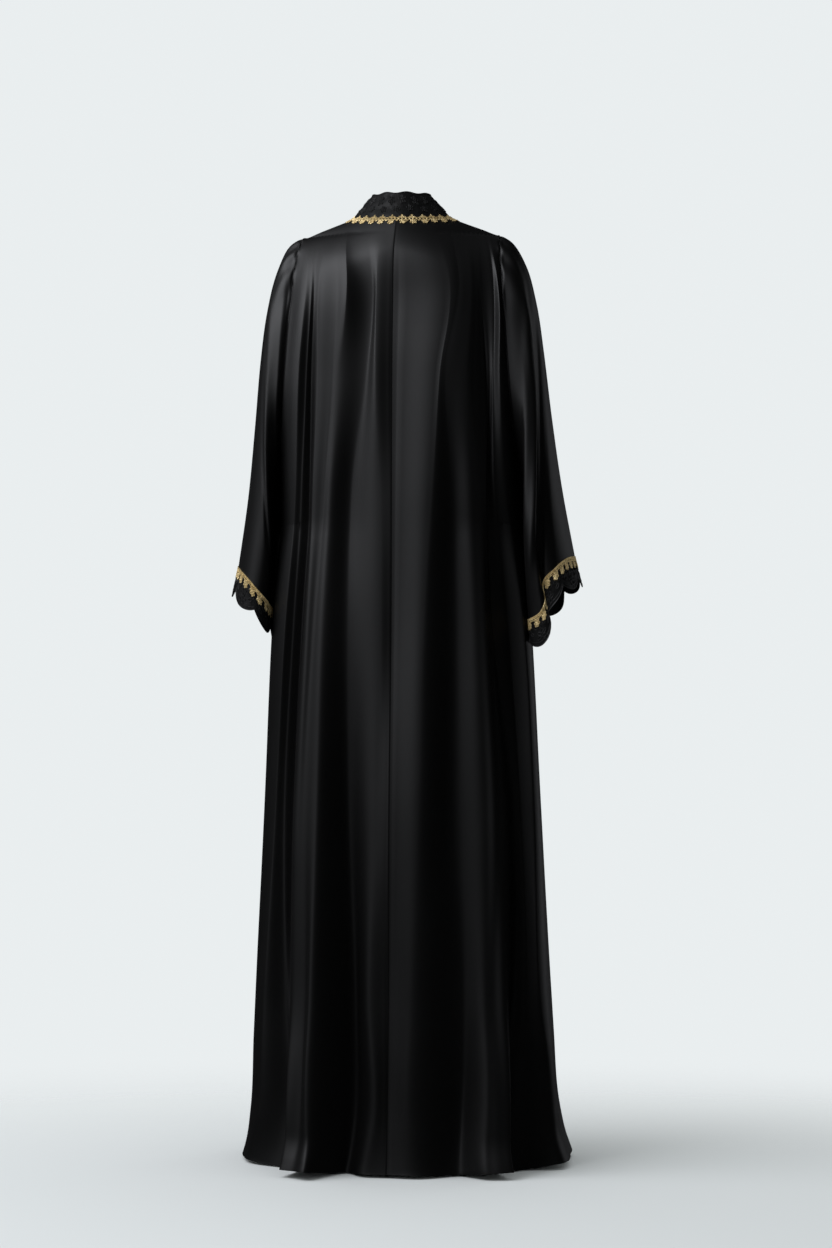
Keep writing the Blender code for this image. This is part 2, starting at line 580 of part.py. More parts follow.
def neck_ring(back_left, back_right, front):
    """The panel edges round the neck as one closed ring, with the panel's normals there and
    the neckband's top edge over it."""
    stops = []
    for (points, normals), lowest, turn in (
        (back_right, -1.0, 1),
        (back_left, 0.001, 1),
        (front, -1.0, -1),
    ):
        x = points[:, 0, 0]
        limit = NECK_HALF_WIDTH + (1e-4 if turn > 0 else -1e-3)
        picks = [i for i in range(len(x)) if lowest < x[i] and abs(x[i]) < limit]
        picks.sort(key=lambda i: turn * x[i])
        stops += [(points[i, 0], normals[i, 0]) for i in picks]
    edge, normals = np.array(stops).transpose(1, 0, 2)
    q = np.clip(np.abs(edge[:, 0]) / NECK_HALF_WIDTH, 0, 1)
    behind = edge[:, 1] > 0
    top = edge.copy()
    top[:, 0] *= BAND_LEAN
    top[:, 1] = np.where(behind, edge[:, 1] * 0.72 + 0.004, edge[:, 1] * 0.97 + 0.004)
    rise = BAND_FRONT_RISE + (BAND_RISE - BAND_FRONT_RISE) * q**0.5
    top[:, 2] += np.where(behind, BAND_RISE + 0.005 * (1 - q**2), rise)
    return edge, normals, top


def neckband(edge, top):
    away = unit(top - edge)
    rows = [edge + away * BAND_GAP + (top - edge) * f for f in (0.0, 0.35, 0.7, 1.0)]
    points = np.stack(rows, axis=1)
    normals = grid_normals(points, True)
    if np.dot(normals[0, 1], edge[0] - edge.mean(0)) < 0:
        normals = -normals
    return points, unit(normals)


def outer_surface(grids, closed):
    """The outer faces of some grids, to lay other pieces on."""
    corners, faces = [], []
    for points, _normals in grids:
        nu, nv = points.shape[:2]
        start = len(corners)
        corners += points.reshape(-1, 3).tolist()
        for i in range(nu if closed else nu - 1):
            k = (i + 1) % nu
            for j in range(nv - 1):
                a, b, c, d = (start + u * nv + v for u, v in ((i, j), (k, j), (k, j + 1), (i, j + 1)))
                faces += [(a, b, c), (a, c, d)]
    return BVHTree.FromPolygons(corners, faces)


def even_steps(ring, step):
    """Where to cut a closed ring so that every cut lies on its own straight sides."""
    cuts = []
    for i in range(len(ring)):
        side = np.linalg.norm(ring[(i + 1) % len(ring)] - ring[i])
        count = max(1, round(side / step))
        cuts += [(i, k / count) for k in range(count)]
    return cuts


def between(values, cuts):
    following = np.roll(values, -1, 0)
    return np.array([values[i] + (following[i] - values[i]) * f for i, f in cuts])


def laid_on(surface, points, outward, lift):
    """Bring points to a surface and move them out from it."""
    near = [surface.find_nearest(p)[0] for p in points.tolist()]
    return np.array([tuple(q) for q in near]) + outward * lift


def neck_trim(edge, normals, band, band_normals, panels):
    """Gold braid over the neck seam: its upper edge lies on the band and its scalloped lower
    edge on the panels."""
    cuts = even_steps(edge, NECK_TRIM_STEP)
    ring = between(edge, cuts)
    out = unit(between(normals, cuts))
    band_out = unit(between(band_normals[:, 0], cuts))
    upward = unit(between(band[:, 1] - band[:, 0], cuts))
    run = np.roll(ring, -1, 0) - np.roll(ring, 1, 0)
    down = unit(np.cross(out, run))
    down *= np.sign(np.sum(down * (ring - ring.mean(0)), axis=1, keepdims=True))
    panel_surface = outer_surface(panels, False)
    band_surface = outer_surface([(band, None)], True)
    steep = ease(0.045, 0.075, np.abs(ring[:, 0])) + ease(0.0, 0.02, -ring[:, 1])
    lift = TRIM_GAP + TRIM_STEEP_GAP * np.clip(steep, 0, 1)[:, None] + BRAID_WALL
    middle = unit(out + band_out)
    reach = NECK_TRIM_DROP + NECK_TRIM_SCALLOP * scallop(ring, NECK_FLOWERS)[:, None]
    rows = [
        laid_on(band_surface, ring + upward * NECK_TRIM_RISE, band_out, lift),
        ring + middle * lift * 1.1,
        laid_on(panel_surface, ring + down * reach * 0.45, out, lift),
        laid_on(panel_surface, ring + down * reach, out, lift),
    ]
    return np.stack(rows, axis=1), np.stack([band_out, middle, out, out], axis=1)


def main():
    for thing in list(bpy.data.objects):
        bpy.data.objects.remove(thing, do_unlink=True)

    grids = {}
    for name, folds, back, sign in (
        ("back_left", BACK_LEFT_FOLDS, 1, 1),
        ("back_right", BACK_RIGHT_FOLDS, 1, -1),
        ("front", FRONT_FOLDS, -1, 1),
    ):
        points, flip, share = panel(folds, back, sign)
        grids[name] = settle_seams(points, flip, share, back)
        solid(name, *grids[name], WALL, False, "satin", 0.42)

    for side, rings, folds, line, sign in (
        ("left", LEFT_SLEEVE, LEFT_SLEEVE_FOLDS, LEFT_CUFF_LINE, 1),
        ("right", RIGHT_SLEEVE, RIGHT_SLEEVE_FOLDS, RIGHT_CUFF_LINE, -1),
    ):
        points, normals = sleeve(rings, folds, line, sign)
        solid("sleeve_" + side, points, normals, WALL, True, "satin", 0.42)
        solid("cuff_lace_" + side, *cuff_lace(points, normals), LACE_WALL, True, "lace", 0.7)
        trim = cuff_trim(points, normals, CUFF_FLOWERS)
        solid("cuff_trim_" + side, *trim, BRAID_WALL, True, "gold", 0.4)

    edge, normals, top = neck_ring(grids["back_left"], grids["back_right"], grids["front"])
    band, band_normals = neckband(edge, top)
    solid("neckband", band, band_normals, WALL, True, "lace", 0.7)
    trim = neck_trim(edge, normals, band, band_normals, list(grids.values()))
    solid("neck_trim", *trim, BRAID_WALL, True, "gold", 0.4)


main()
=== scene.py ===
"""The looks of a floor-length black satin kaftan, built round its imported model.
Metres, +Z up. The front faces -Y and the wearer's left is +X.
The tables and form functions repeat those of the model's source, apart from small changes to
some folds, so the cloth lies on its solids. Every sheet is drawn with finer columns and rows
and gets its creases, rolled seams and thread."""

import math

import bpy
import numpy as np
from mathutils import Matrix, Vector
from mathutils.bvhtree import BVHTree


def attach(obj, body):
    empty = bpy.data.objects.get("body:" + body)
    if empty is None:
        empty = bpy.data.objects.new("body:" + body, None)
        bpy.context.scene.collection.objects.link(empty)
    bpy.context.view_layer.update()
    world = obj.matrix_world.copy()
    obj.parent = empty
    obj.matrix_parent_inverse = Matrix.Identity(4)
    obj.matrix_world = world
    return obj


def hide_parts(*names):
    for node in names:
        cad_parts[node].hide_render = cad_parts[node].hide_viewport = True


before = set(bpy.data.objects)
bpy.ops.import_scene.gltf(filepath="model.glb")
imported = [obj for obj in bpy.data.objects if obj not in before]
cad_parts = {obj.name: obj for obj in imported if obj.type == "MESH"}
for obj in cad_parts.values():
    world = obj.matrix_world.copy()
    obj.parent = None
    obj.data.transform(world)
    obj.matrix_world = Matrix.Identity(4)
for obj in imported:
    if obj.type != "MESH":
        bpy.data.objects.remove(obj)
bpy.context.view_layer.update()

# Driving dimensions in metres. Heights are measured from the floor.
SHOULDER_HEIGHT = 1.486
ORIGIN = np.array([0, 0, SHOULDER_HEIGHT])
SEAM_GAP = 0.0003
# How far the left back passes under the right one at the centre seam, and the neckband
# under the neckline.
SEAM_LAP = 0.0015
NECK_HALF_WIDTH = 0.082
NECK_CORNER_HEIGHT = 1.489
SHOULDER_SLOPE = 0.36
SHOULDER_ROUND = 0.085
BACK_NECK_DIP = 0.006
V_BOTTOM_HEIGHT = 1.260
HEM_HEIGHT = 0.007
HEM_DIP = 0.12
HEM_RANGE = (0.001, 0.012)
ARMHOLE_TOP = 1.462
ARMHOLE_BOTTOM = 1.000
ARMHOLE_HALF_DEPTH = 0.088
ROUNDNESS = 2.2
OVAL = 2.0 / ROUNDNESS
BODY_OVAL = 2.0 / 2.3
SIDE = 0.99  # a column whose share is larger than this is a side edge

# The body form: half the width and the depth behind and in front, at each height.
BODY_SECTIONS = dict(
    height=(0.0, 0.03, 0.08, 0.20, 0.40, 0.60, 0.84, 1.00, 1.10, 1.22, 1.30,
            1.36, 1.42, 1.462, 1.50),
    half_width=(0.259, 0.250, 0.242, 0.2360, 0.227, 0.2175, 0.205, 0.193, 0.187, 0.178, 0.172,
                0.167, 0.162, 0.157, 0.155),
    back=(0.200, 0.193, 0.184, 0.172, 0.158, 0.148, 0.140, 0.135, 0.133, 0.130, 0.126, 0.119,
          0.104, 0.084, 0.070),
    front=(0.184, 0.178, 0.172, 0.162, 0.150, 0.141, 0.133, 0.130, 0.132, 0.131, 0.124, 0.113,
           0.096, 0.078, 0.066),
)

# The view from behind: how far it is turned, its distance, the height of the eye, how far the
# eye is to the right, and the distance of the picture plane and its height in pixels.
TURN = math.radians(7.0)
VIEW_DISTANCE = 5.0
EYE_HEIGHT = 0.848
EYE_ASIDE = -0.0222
PICTURE_DISTANCE = 3150
PICTURE_HEIGHT = 1248
SENSOR = 36

# Where the folds are measured, as heights.
FOLD_HEIGHTS = dict(neck=1.47, yoke=1.388, chest=1.235, waist=1.06, hip=0.854, knee=0.56,
                    shin=0.271, ankle=0.085, hem=0.012)

# Each fold is a row: its place round the panel at each height, as a share of the way from the
# centre (0) to the side (1), and how far it stands out (+) or in (-), in millimetres.
BACK_LEFT_FOLDS = (
    ("centre seam", (0, 0, 0, 0, 0, 0, 0, 0, 0),
     (-2, -10, -10, -9, -11, 3, -7, -9, -12)),
    ("seam ridge", (0.06, 0.074, 0.067, 0.047, 0.035, 0.04, 0.06, 0.04, 0.065),
     (2, -6, -3, -8, -8, -2, -2, -4, -12)),
    ("wide valley", (0.165, 0.107, 0.127, 0.201, 0.194, 0.179, 0.139, 0.137, 0.155),
     (-3, -13, -16, -22, -17, -30, -40, -46, -43)),
    ("blade ridge", (0.314, 0.254, 0.298, 0.321, 0.32, 0.299, 0.283, 0.271, 0.25),
     (3, 5, -7, -2, 7, 18, 31, 38, 33)),
    ("slack", (0.4, 0.342, 0.338, 0.357, 0.368, 0.366, 0.322, 0.311, 0.31),
     (1, -1, -8, -3, 4, 13, 16, 26, 24)),
    ("sharp ridge", (0.455, 0.464, 0.439, 0.42, 0.401, 0.404, 0.387, 0.369, 0.362),
     (3, 3, -5, 3, 9, 16, 15, 32, 25)),
    ("deep valley", (0.58, 0.523, 0.518, 0.482, 0.517, 0.562, 0.521, 0.408, 0.405),
     (-1, 1, -11, -7, -15, -24, -27, -26, -34)),
    ("valley floor", (0.65, 0.555, 0.544, 0.512, 0.546, 0.596, 0.559, 0.518, 0.535),
     (0, 4, -3, 5, -2, -10, -23, -35, -34)),
    ("side ridge", (0.74, 0.618, 0.604, 0.544, 0.573, 0.629, 0.648, 0.703, 0.8),
     (2, 7, 6, 12, 10, 2, 5, 0, -6)),
    ("side", (1, 1, 1, 1, 1, 1, 1, 1, 1),
     (0, 0, 0, 0, 0, -1, -2, -2, -2)),
)
BACK_RIGHT_FOLDS = (
    ("centre seam", (0, 0, 0, 0, 0, 0, 0, 0, 0),
     (-2, -10, -10, -9, -11, 3, -7, -9, -12)),
    ("plateau", (0.2, 0.307, 0.237, 0.179, 0.13, 0.101, 0.078, 0.07, 0.08),
     (3, 1, 4, 7, 5, 14, 9, 2, -5)),
    ("wide valley", (0.314, 0.389, 0.281, 0.3, 0.294, 0.272, 0.298, 0.29, 0.262),
     (-1, -1, 3, -6, -18, -17, -17, -29, -27)),
    ("blade ridge", (0.45, 0.49, 0.419, 0.406, 0.416, 0.426, 0.396, 0.378, 0.355),
     (0, -2, 3, 7, 1, 5, 9, 19, 15)),
    ("slack", (0.49, 0.534, 0.463, 0.458, 0.463, 0.465, 0.433, 0.425, 0.408),
     (0, -4, 1, 8, 4, 11, 11, 24, 21)),
    ("low ridge", (0.536, 0.572, 0.595, 0.499, 0.507, 0.504, 0.47, 0.473, 0.453),
     (-1, -5, -9, 8, -5, 7, 19, 28, 24)),
    ("deep valley", (0.591, 0.609, 0.633, 0.538, 0.544, 0.652, 0.608, 0.515, 0.492),
     (-2, -6, -8, -4, -11, -10, -13, -26, -34)),
    ("valley floor", (0.643, 0.742, 0.666, 0.574, 0.689, 0.692, 0.669, 0.63, 0.645),
     (-1, -3, -4, 5, -11, -3, 0, -17, -28)),
    ("side ridge", (0.706, 0.787, 0.729, 0.657, 0.731, 0.73, 0.709, 0.808, 0.8),
     (2, 8, 6, 12, 13, 17, 18, 17, 15)),
    ("side", (1, 1, 1, 1, 1, 1, 1, 1, 1),
     (0, 0, 0, 0, 0, 0, 2, 5, 9)),
)
FRONT_FOLDS = (
    ("right side", (-1, -1, -1, -1, -1, -1, -1, -1, -1),
     (0, 0, 0, 0, 0, 0, 2, 5, 9)),
    ("right side ridge", (-0.7, -0.68, -0.676, -0.685, -0.7, -0.718, -0.74, -0.76, -0.77),
     (2, 3, 4, 6, 7, 7, 10, 15, 20)),
    ("right valley", (-0.52, -0.51, -0.501, -0.504, -0.52, -0.538, -0.56, -0.58, -0.59),
     (-2, -3, -5, -7, -9, -9, -13, -20, -26)),
    ("right ridge", (-0.314, -0.34, -0.358, -0.359, -0.35, -0.356, -0.37, -0.38, -0.38),
     (2, 4, 6, 6, 7, 6, 10, 18, 26)),
    ("right inner valley", (-0.18, -0.2, -0.203, -0.2, -0.2, -0.192, -0.19, -0.2, -0.21),
     (-1, -3, -5, -7, -8, -8, -10, -14, -18)),
    ("centre", (0, 0, 0, 0, 0, 0, 0, 0, 0),
     (0, 1, 3, 5, 5, 6, 7, 9, 12)),
    ("left inner valley", (0.18, 0.18, 0.171, 0.179, 0.21, 0.235, 0.24, 0.23, 0.22),
     (-1, -3, -6, -8, -9, -9, -10, -14, -19)),
    ("left ridge", (0.314, 0.33, 0.338, 0.347, 0.36, 0.365, 0.37, 0.38, 0.39),
     (2, 4, 6, 6, 7, 7, 10, 17, 24)),
    ("left valley", (0.5, 0.49, 0.481, 0.484, 0.5, 0.518, 0.54, 0.56, 0.57),
     (-2, -3, -5, -7, -8, -9, -13, -20, -27)),
    ("left side ridge", (0.69, 0.67, 0.659, 0.664, 0.68, 0.703, 0.73, 0.75, 0.76),
     (2, 3, 4, 6, 7, 7, 9, 12, 14)),
    ("left side", (1, 1, 1, 1, 1, 1, 1, 1, 1),
     (0, 0, 0, 0, 0, -1, -2, -2, -2)),
)

# Each sleeve is a row of rings from the armhole to the cuff: the outer and inner ends of the
# ring as distance from the centre and height, and how far it reaches back and forward.
BOTH_SLEEVES = dict(
    along=(0.0, 0.06, 0.14, 0.25, 0.40, 0.60, 0.80, 1.0),
    back=(0.088, 0.090, 0.092, 0.094, 0.096, 0.096, 0.093, 0.088),
    front=(0.088, 0.090, 0.094, 0.099, 0.106, 0.113, 0.118, 0.120),
)
LEFT_SLEEVE = dict(
    BOTH_SLEEVES,
    outer_x=(0.157, 0.177, 0.195, 0.209, 0.222, 0.235, 0.247, 0.264),
    outer_z=(1.462, 1.449, 1.415, 1.362, 1.282, 1.166, 1.050, 0.934),
    inner_x=(0.193, 0.1955, 0.197, 0.1985, 0.2003, 0.2025, 0.205, 0.2075),
    inner_z=(1.000, 0.994, 0.985, 0.973, 0.953, 0.925, 0.897, 0.868),
)
RIGHT_SLEEVE = dict(
    BOTH_SLEEVES,
    outer_x=(0.157, 0.177, 0.197, 0.212, 0.225, 0.239, 0.255, 0.276),
    outer_z=(1.462, 1.449, 1.415, 1.362, 1.282, 1.170, 1.060, 0.948),
    inner_x=(0.193, 0.1940, 0.1948, 0.1958, 0.1975, 0.1998, 0.2021, 0.2044),
    inner_z=(1.000, 0.994, 0.985, 0.973, 0.951, 0.921, 0.891, 0.860),
)

# Folds along a sleeve: place round it in degrees (0 outer, 90 back, 180 inner, 270 front) and
# how far each stands out or in, in millimetres, at the head, the elbow and the cuff.
SLEEVE_PLACES = (0.0, 0.45, 1.0)
LEFT_SLEEVE_FOLDS = (
    ("outer", (0, 0, 0), (0, 0, 0)),
    ("outer swell", (40, 38, 36), (0, 2, 1)),
    ("back groove", (72, 76, 80), (0, -2, 0)),
    ("back drape", (104, 112, 120), (0, 2, 1)),
    ("inner dip", (142, 146, 150), (0, -2, -1)),
    ("inner", (180, 180, 180), (0, 0, 0)),
    ("front dip", (232, 232, 232), (0, -4, -4)),
    ("front drape", (268, 266, 264), (0, 6, 5)),
    ("front groove", (304, 306, 308), (0, -6, -4)),
    ("front swell", (334, 334, 334), (0, 2, 2)),
)
RIGHT_SLEEVE_FOLDS = (
    ("outer", (0, 0, 0), (0, 0, 0)),
    ("outer swell", (12, 15, 55), (0, 2, 4)),
    ("back groove", (24, 35, 91), (0, -5, -8)),
    ("back drape", (48, 52, 112), (0, 5, 5)),
    ("inner dip", (142, 142, 155), (0, -3, -4)),
    ("inner", (180, 180, 180), (0, 0, 0)),
    ("front dip", (230, 230, 230), (0, -4, -5)),
    ("front drape", (266, 264, 264), (0, 6, 7)),
    ("front groove", (302, 304, 306), (0, -6, -6)),
    ("front swell", (334, 334, 334), (0, 2, 3)),
)

# How the cuff edges lie: place round the cuff in degrees, and how far the edge is moved away
# from the body and hangs lower there, in millimetres. The right cuff is folded over itself.
LEFT_CUFF_LINE = dict(place=(0, 360), aside=(0, 0), lower=(0, 0))
RIGHT_CUFF_LINE = dict(
    place=(0, 60, 84, 98, 105, 112, 119, 126, 141, 158, 180, 215, 262, 360),
    aside=(0, 0, 4, 14, 17, 16, 12, 7, 2, 0, 0, 0, 0, 0),
    lower=(0, 0, 4, 17, 23, 26, 26, 25, 19, 11, 5, 0, 0, 0),
)

# Rows round each half of the armhole in degrees from its top, shared by panel and sleeve.
ARMHOLE_ROWS = (0, 12, 21, 29, 37, 46, 57, 70, 84, 98, 112, 126, 141, 158, 180)
GATHER_SIGNS = (0, 1, -1, 1, -1, 1, -1, 0, 0, 0, 0, 0, 0, 0, 0)
GATHER_DEPTH = 0.0018
# How far the gathers reach: as a share of the panel's width, and of the sleeve's length.
PANEL_GATHERS = 0.13
SLEEVE_GATHERS = 0.09
LOWER_ROWS = 12
SLEEVE_LEAN = 0.014
# Where along the sleeve its folds are whole, and where its cuff line starts to pull it aside
# and down.
SLEEVE_FOLDS_FROM = 0.25
CUFF_ASIDE_FROM = 0.65
CUFF_LOWER_FROM = 0.55
NECK_CORNER_SHARE = 0.314

# Creases too small for the solids. Heights and places to the left of the middle are those seen
# from behind; each stands out (+) or in (-) by some millimetres, with a half width in metres.
SLEEVE_LEFT_CREASES = (
    ("ridge", (1.42, 1.362, 1.299, 1.235, 1.172, 1.108, 1.045, 0.981, 0.93),
     (0.180, 0.1825, 0.1873, 0.1905, 0.1952, 0.200, 0.1984, 0.1952, 0.193),
     (0, 3, 5, 6, 7, 7, 7, 6, 0), 0.011),
    ("ridge line", (1.34, 1.299, 1.235, 1.140, 1.045, 0.981, 0.926, 0.90),
     (0.214, 0.2159, 0.2190, 0.2206, 0.2175, 0.2127, 0.2063, 0.203),
     (0, -0.8, -1.0, -1.2, -2.0, -4.0, -3.0, 0), 0.0028),
)
SLEEVE_RIGHT_CREASES = (
    ("ridge", (1.40, 1.362, 1.299, 1.235, 1.108, 1.045, 0.981, 0.90, 0.87),
     (-0.203, -0.2055, -0.2050, -0.2120, -0.2150, -0.2120, -0.2045, -0.194, -0.192),
     (0, 4, 5, 6, 6, 6, 6, 4, 0), 0.009),
    ("ridge line", (1.40, 1.362, 1.299, 1.235, 1.140, 1.045, 0.920, 0.88),
     (-0.207, -0.2100, -0.2143, -0.2175, -0.2206, -0.2222, -0.2222, -0.221),
     (0, -1.5, -2.0, -3.0, -3.5, -3.5, -2.5, 0), 0.0030),
)

# Where along a sleeve its section turns from a pointed one to a round one: the front half of
# both, and the back half of the left and the right one.
FRONT_FILLS = (0.3, 0.9)
BACK_FILLS = {1: (0.0, 0.22), -1: FRONT_FILLS}

# Neckband, cuff lace and braid.
BAND_LEAN = 0.58
BAND_BACK_LEAN = 0.72
BAND_FRONT_LEAN = 0.97
BAND_FORWARD = 0.004
BAND_RISE = 0.038
BAND_CROWN = 0.005
BAND_FRONT_RISE = 0.054
# The band's base and top are evened behind, and its top edge waves a little there.
BAND_EVENING = 60
BAND_WAVE = 0.0012
BAND_WAVES = 13
LACE_DEPTH = 0.026
SCALLOP_DEPTH = 0.016
SCALLOPS = dict(left=8, right=9)
LACE_FLARE = 0.10
FIRST_NOTCH = dict(left=0.0545, right=0.0147)
LACE_RIM = 0.0009
LACE_CORD = 0.0006
LACE_FINE = 0.0005
BAND_GAP = 0.0008


def curve(places, values, at):
    """A smooth curve through a short table, straight beyond its ends."""
    order = np.argsort(places)
    p = np.asarray(places, float)[order]
    v = np.asarray(values, float)[order]
    at = np.clip(np.asarray(at, float), p[0], p[-1])
    slope = np.diff(v) / np.diff(p)
    tangent = np.empty(len(p))
    tangent[0], tangent[-1] = slope[0], slope[-1]
    span = np.diff(p)
    tangent[1:-1] = (slope[:-1] * span[1:] + slope[1:] * span[:-1]) / (span[1:] + span[:-1])
    k = np.clip(np.searchsorted(p, at, side="right") - 1, 0, len(p) - 2)
    h = span[k]
    f = (at - p[k]) / h
    return (
        (2 * f**3 - 3 * f**2 + 1) * v[k]
        + (f**3 - 2 * f**2 + f) * h * tangent[k]
        + (3 * f**2 - 2 * f**3) * v[k + 1]
        + (f**3 - f**2) * h * tangent[k + 1]
    )


def body_size(column, height):
    return curve(BODY_SECTIONS["height"], BODY_SECTIONS[column], height)


def ease(a, b, value):
    f = np.clip((value - a) / (b - a), 0.0, 1.0)
    return f * f * (3 - 2 * f)


def rounded(q):
    """Half the width of a round section, from 0 to 1, at places from -1 to 1."""
    return np.maximum(0.0, 1 - np.abs(q) ** ROUNDNESS) ** (1 / ROUNDNESS)


def armhole_shape(q):
    """Half the width of the armhole, from 0 to 1, from its point (-1) to its head (1)."""
    q = np.clip(q, -1.0, 1.0)
    point = np.maximum(0.0, 1 - np.abs(q) ** 1.7) ** 1.1
    return np.where(q > 0, rounded(q), point)


def armhole_depth(height):
    middle = (ARMHOLE_TOP + ARMHOLE_BOTTOM) / 2
    half = (ARMHOLE_TOP - ARMHOLE_BOTTOM) / 2
    return ARMHOLE_HALF_DEPTH * armhole_shape((height - middle) / half)


def body_surface(share, height, back):
    """The smooth body form. back is +1 behind and -1 in front."""
    turn = np.clip(np.abs(share), 0, 1) * math.pi / 2
    half = body_size("half_width", height)
    depth = body_size("back" if back > 0 else "front", height)
    x = half * np.sin(turn) ** BODY_OVAL
    round_side = 1.0 + 1.2 * (1 - ease(0.86, 1.24, height))
    c = np.maximum(np.cos(turn), 0) ** (2.0 / round_side)
    peak = NECK_CORNER_HEIGHT - SHOULDER_SLOPE * (x - NECK_HALF_WIDTH)
    drop = np.clip((peak - height) / SHOULDER_ROUND, 0, 1)
    over = np.sqrt(1 - (1 - drop) ** 2)
    y = armhole_depth(height) * (1 - c) + depth * over * c
    return np.stack([np.sign(share) * x, back * y, height + 0 * x], axis=-1)


def top_height(x, back):
    """The neckline and shoulder line, as a height over each distance from the centre."""
    x = np.abs(x)
    shoulder = NECK_CORNER_HEIGHT - SHOULDER_SLOPE * (x - NECK_HALF_WIDTH)
    q = np.clip(x / NECK_HALF_WIDTH, 0, 1)
    if back > 0:
        neck = NECK_CORNER_HEIGHT - BACK_NECK_DIP * (1 - q**2)
    else:
        rise = NECK_CORNER_HEIGHT - V_BOTTOM_HEIGHT
        neck = V_BOTTOM_HEIGHT + rise * (0.25 * q**2 + 0.75 * q**1.15)
    return np.where(x < NECK_HALF_WIDTH - 1e-6, neck, np.minimum(shoulder, NECK_CORNER_HEIGHT))


def hem_height(depth):
    """The hem dips a little where a fold stands out."""
    return float(np.clip(HEM_HEIGHT - HEM_DIP * depth, *HEM_RANGE))


# How much finer the cloth is drawn than its solids.
ARMHOLE_FINE = 5
LOWER_FINE = 8
COLUMN_STEP = dict(back_left=0.0033, back_right=0.0033, front=0.0050)
FIRST_STEPS = (0.0, 0.12, 0.26, 0.42, 0.6, 0.8)
SLEEVE_FINE_ROWS = 120
# How much closer the rows lie at the armhole than at the cuff.
SLEEVE_ROW_SPREAD = 1.3
# Degrees round the armhole over which the seam's roll ends, towards the underarm.
UNDERARM = (100, 150)
# Rounds in which each column's top is fitted to the neckline and shoulder.
TOP_ROUNDS = 16
# How far below its top a column's folds are whole.
FOLDS_FADE = 0.15
SHEET_WALL = 0.0012
FLOOR_GAP = 0.0008
FOLD_SOFTENING = 6
# The ridges of the back stand out further in the last few centimetres above the floor.
HEM_KICK = 0.35
HEM_KICK_HEIGHT = 0.06
CUFF_EVENING = 120

# The cloth turns in along every seam.
ROLL_DEPTH = 0.0012
ROLL_WIDTH = 0.0040
# The centre seam is pressed to the left, so its right edge hardly turns in.
SEAM_UPPER_ROLL = 0.1


def finer(values, times):
    """A table with equal steps added between its values."""
    v = np.asarray(values, float)
    at = np.arange((len(v) - 1) * times + 1) / times
    return np.interp(at, np.arange(len(v)), v)


def waves(values, times):
    """A table of peaks and dips joined by smooth waves."""
    v = np.asarray(values, float)
    at = np.arange((len(v) - 1) * times + 1) / times
    k = np.minimum(at.astype(int), len(v) - 2)
    blend = 0.5 - 0.5 * np.cos(np.pi * (at - k))
    return v[k] + (v[k + 1] - v[k]) * blend


ROUND_ARMHOLE = finer(ARMHOLE_ROWS, ARMHOLE_FINE)
GATHERS = waves(GATHER_SIGNS, ARMHOLE_FINE)
ARMHOLE_COUNT = len(ROUND_ARMHOLE)


def row_shares():
    """How far down a panel each row lies: round the armhole first, then on to the hem."""
    middle = (ARMHOLE_TOP + ARMHOLE_BOTTOM) / 2
    half = (ARMHOLE_TOP - ARMHOLE_BOTTOM) / 2
    c = np.cos(np.radians(ROUND_ARMHOLE))
    upper = middle + half * np.sign(c) * np.abs(c) ** OVAL
    f = np.arange(1, LOWER_ROWS * LOWER_FINE + 1) / (LOWER_ROWS * LOWER_FINE)
    lower = ARMHOLE_BOTTOM + (HEM_HEIGHT - ARMHOLE_BOTTOM) * (1 - (1 - f) ** 1.35)
    rows = np.concatenate([upper, lower])
    return (ARMHOLE_TOP - rows) / (ARMHOLE_TOP - HEM_HEIGHT)


def reaches_neck_corner(folds, k):
    """+1 or -1 where the next fold, or this one, starts at the neck corner; 0 elsewhere."""
    a, b = folds[k][1][0], folds[k + 1][1][0]
    if b == NECK_CORNER_SHARE and a < b:
        return 1
    return -1 if a == -NECK_CORNER_SHARE and b > a else 0


def fold_columns(folds, step):
    """Fold numbers and fractions of the columns, closer together beside the panel's edges."""
    for k in range(len(folds) - 1):
        wide = abs(folds[k + 1][1][-1] - folds[k][1][-1]) * 0.41
        deep = abs(folds[k + 1][2][-1] - folds[k][2][-1]) / 1000
        count = max(6, round(math.hypot(wide, deep) / step))
        places = [i / count for i in range(count)]
        if k == 0:
            places[:1] = [f / count for f in FIRST_STEPS]
        if k == len(folds) - 2:
            places[-1:] = [1 - f / count for f in FIRST_STEPS[:0:-1]]
            places.insert(len(places) - len(FIRST_STEPS) + 1, 1 - 1 / count)
        for f in places:
            yield k, f
    yield len(folds) - 2, 1.0


def fold_values(folds, k, f, height):
    """Share and outward depth of one column at given heights."""
    places = tuple(FOLD_HEIGHTS.values())
    a = curve(places, folds[k][1], height)
    b = curve(places, folds[k + 1][1], height)
    da = curve(places, folds[k][2], height)
    db = curve(places, folds[k + 1][2], height)
    blend = 0.5 - 0.5 * math.cos(math.pi * f)
    high = ease(0.90, 1.20, height)
    if k == 0 and abs(folds[0][1][0]) == 1:
        f = f + (f**0.55 - f) * high
    if k == len(folds) - 2:
        f = f + (1 - (1 - f) ** 0.55 - f) * high
    neck = ease(1.22, 1.44, height)
    if reaches_neck_corner(folds, k) > 0:
        f = f + (1 - (1 - f) ** 1.9 - f) * neck
    if reaches_neck_corner(folds, k) < 0:
        f = f + (f**1.9 - f) * neck
    share = a + (b - a) * f
    return share, (da + (db - da) * blend) / 1000.0


def unit(v):
    return v / np.maximum(np.linalg.norm(v, axis=-1, keepdims=True), 1e-12)


def grid_normals(points, closed):
    """Unit normals of a grid of points, the way its columns turn towards its rows."""
    if closed:
        du = np.roll(points, -1, 0) - np.roll(points, 1, 0)
    else:
        du = np.gradient(points, axis=0)
    return unit(np.cross(du, np.gradient(points, axis=1)))


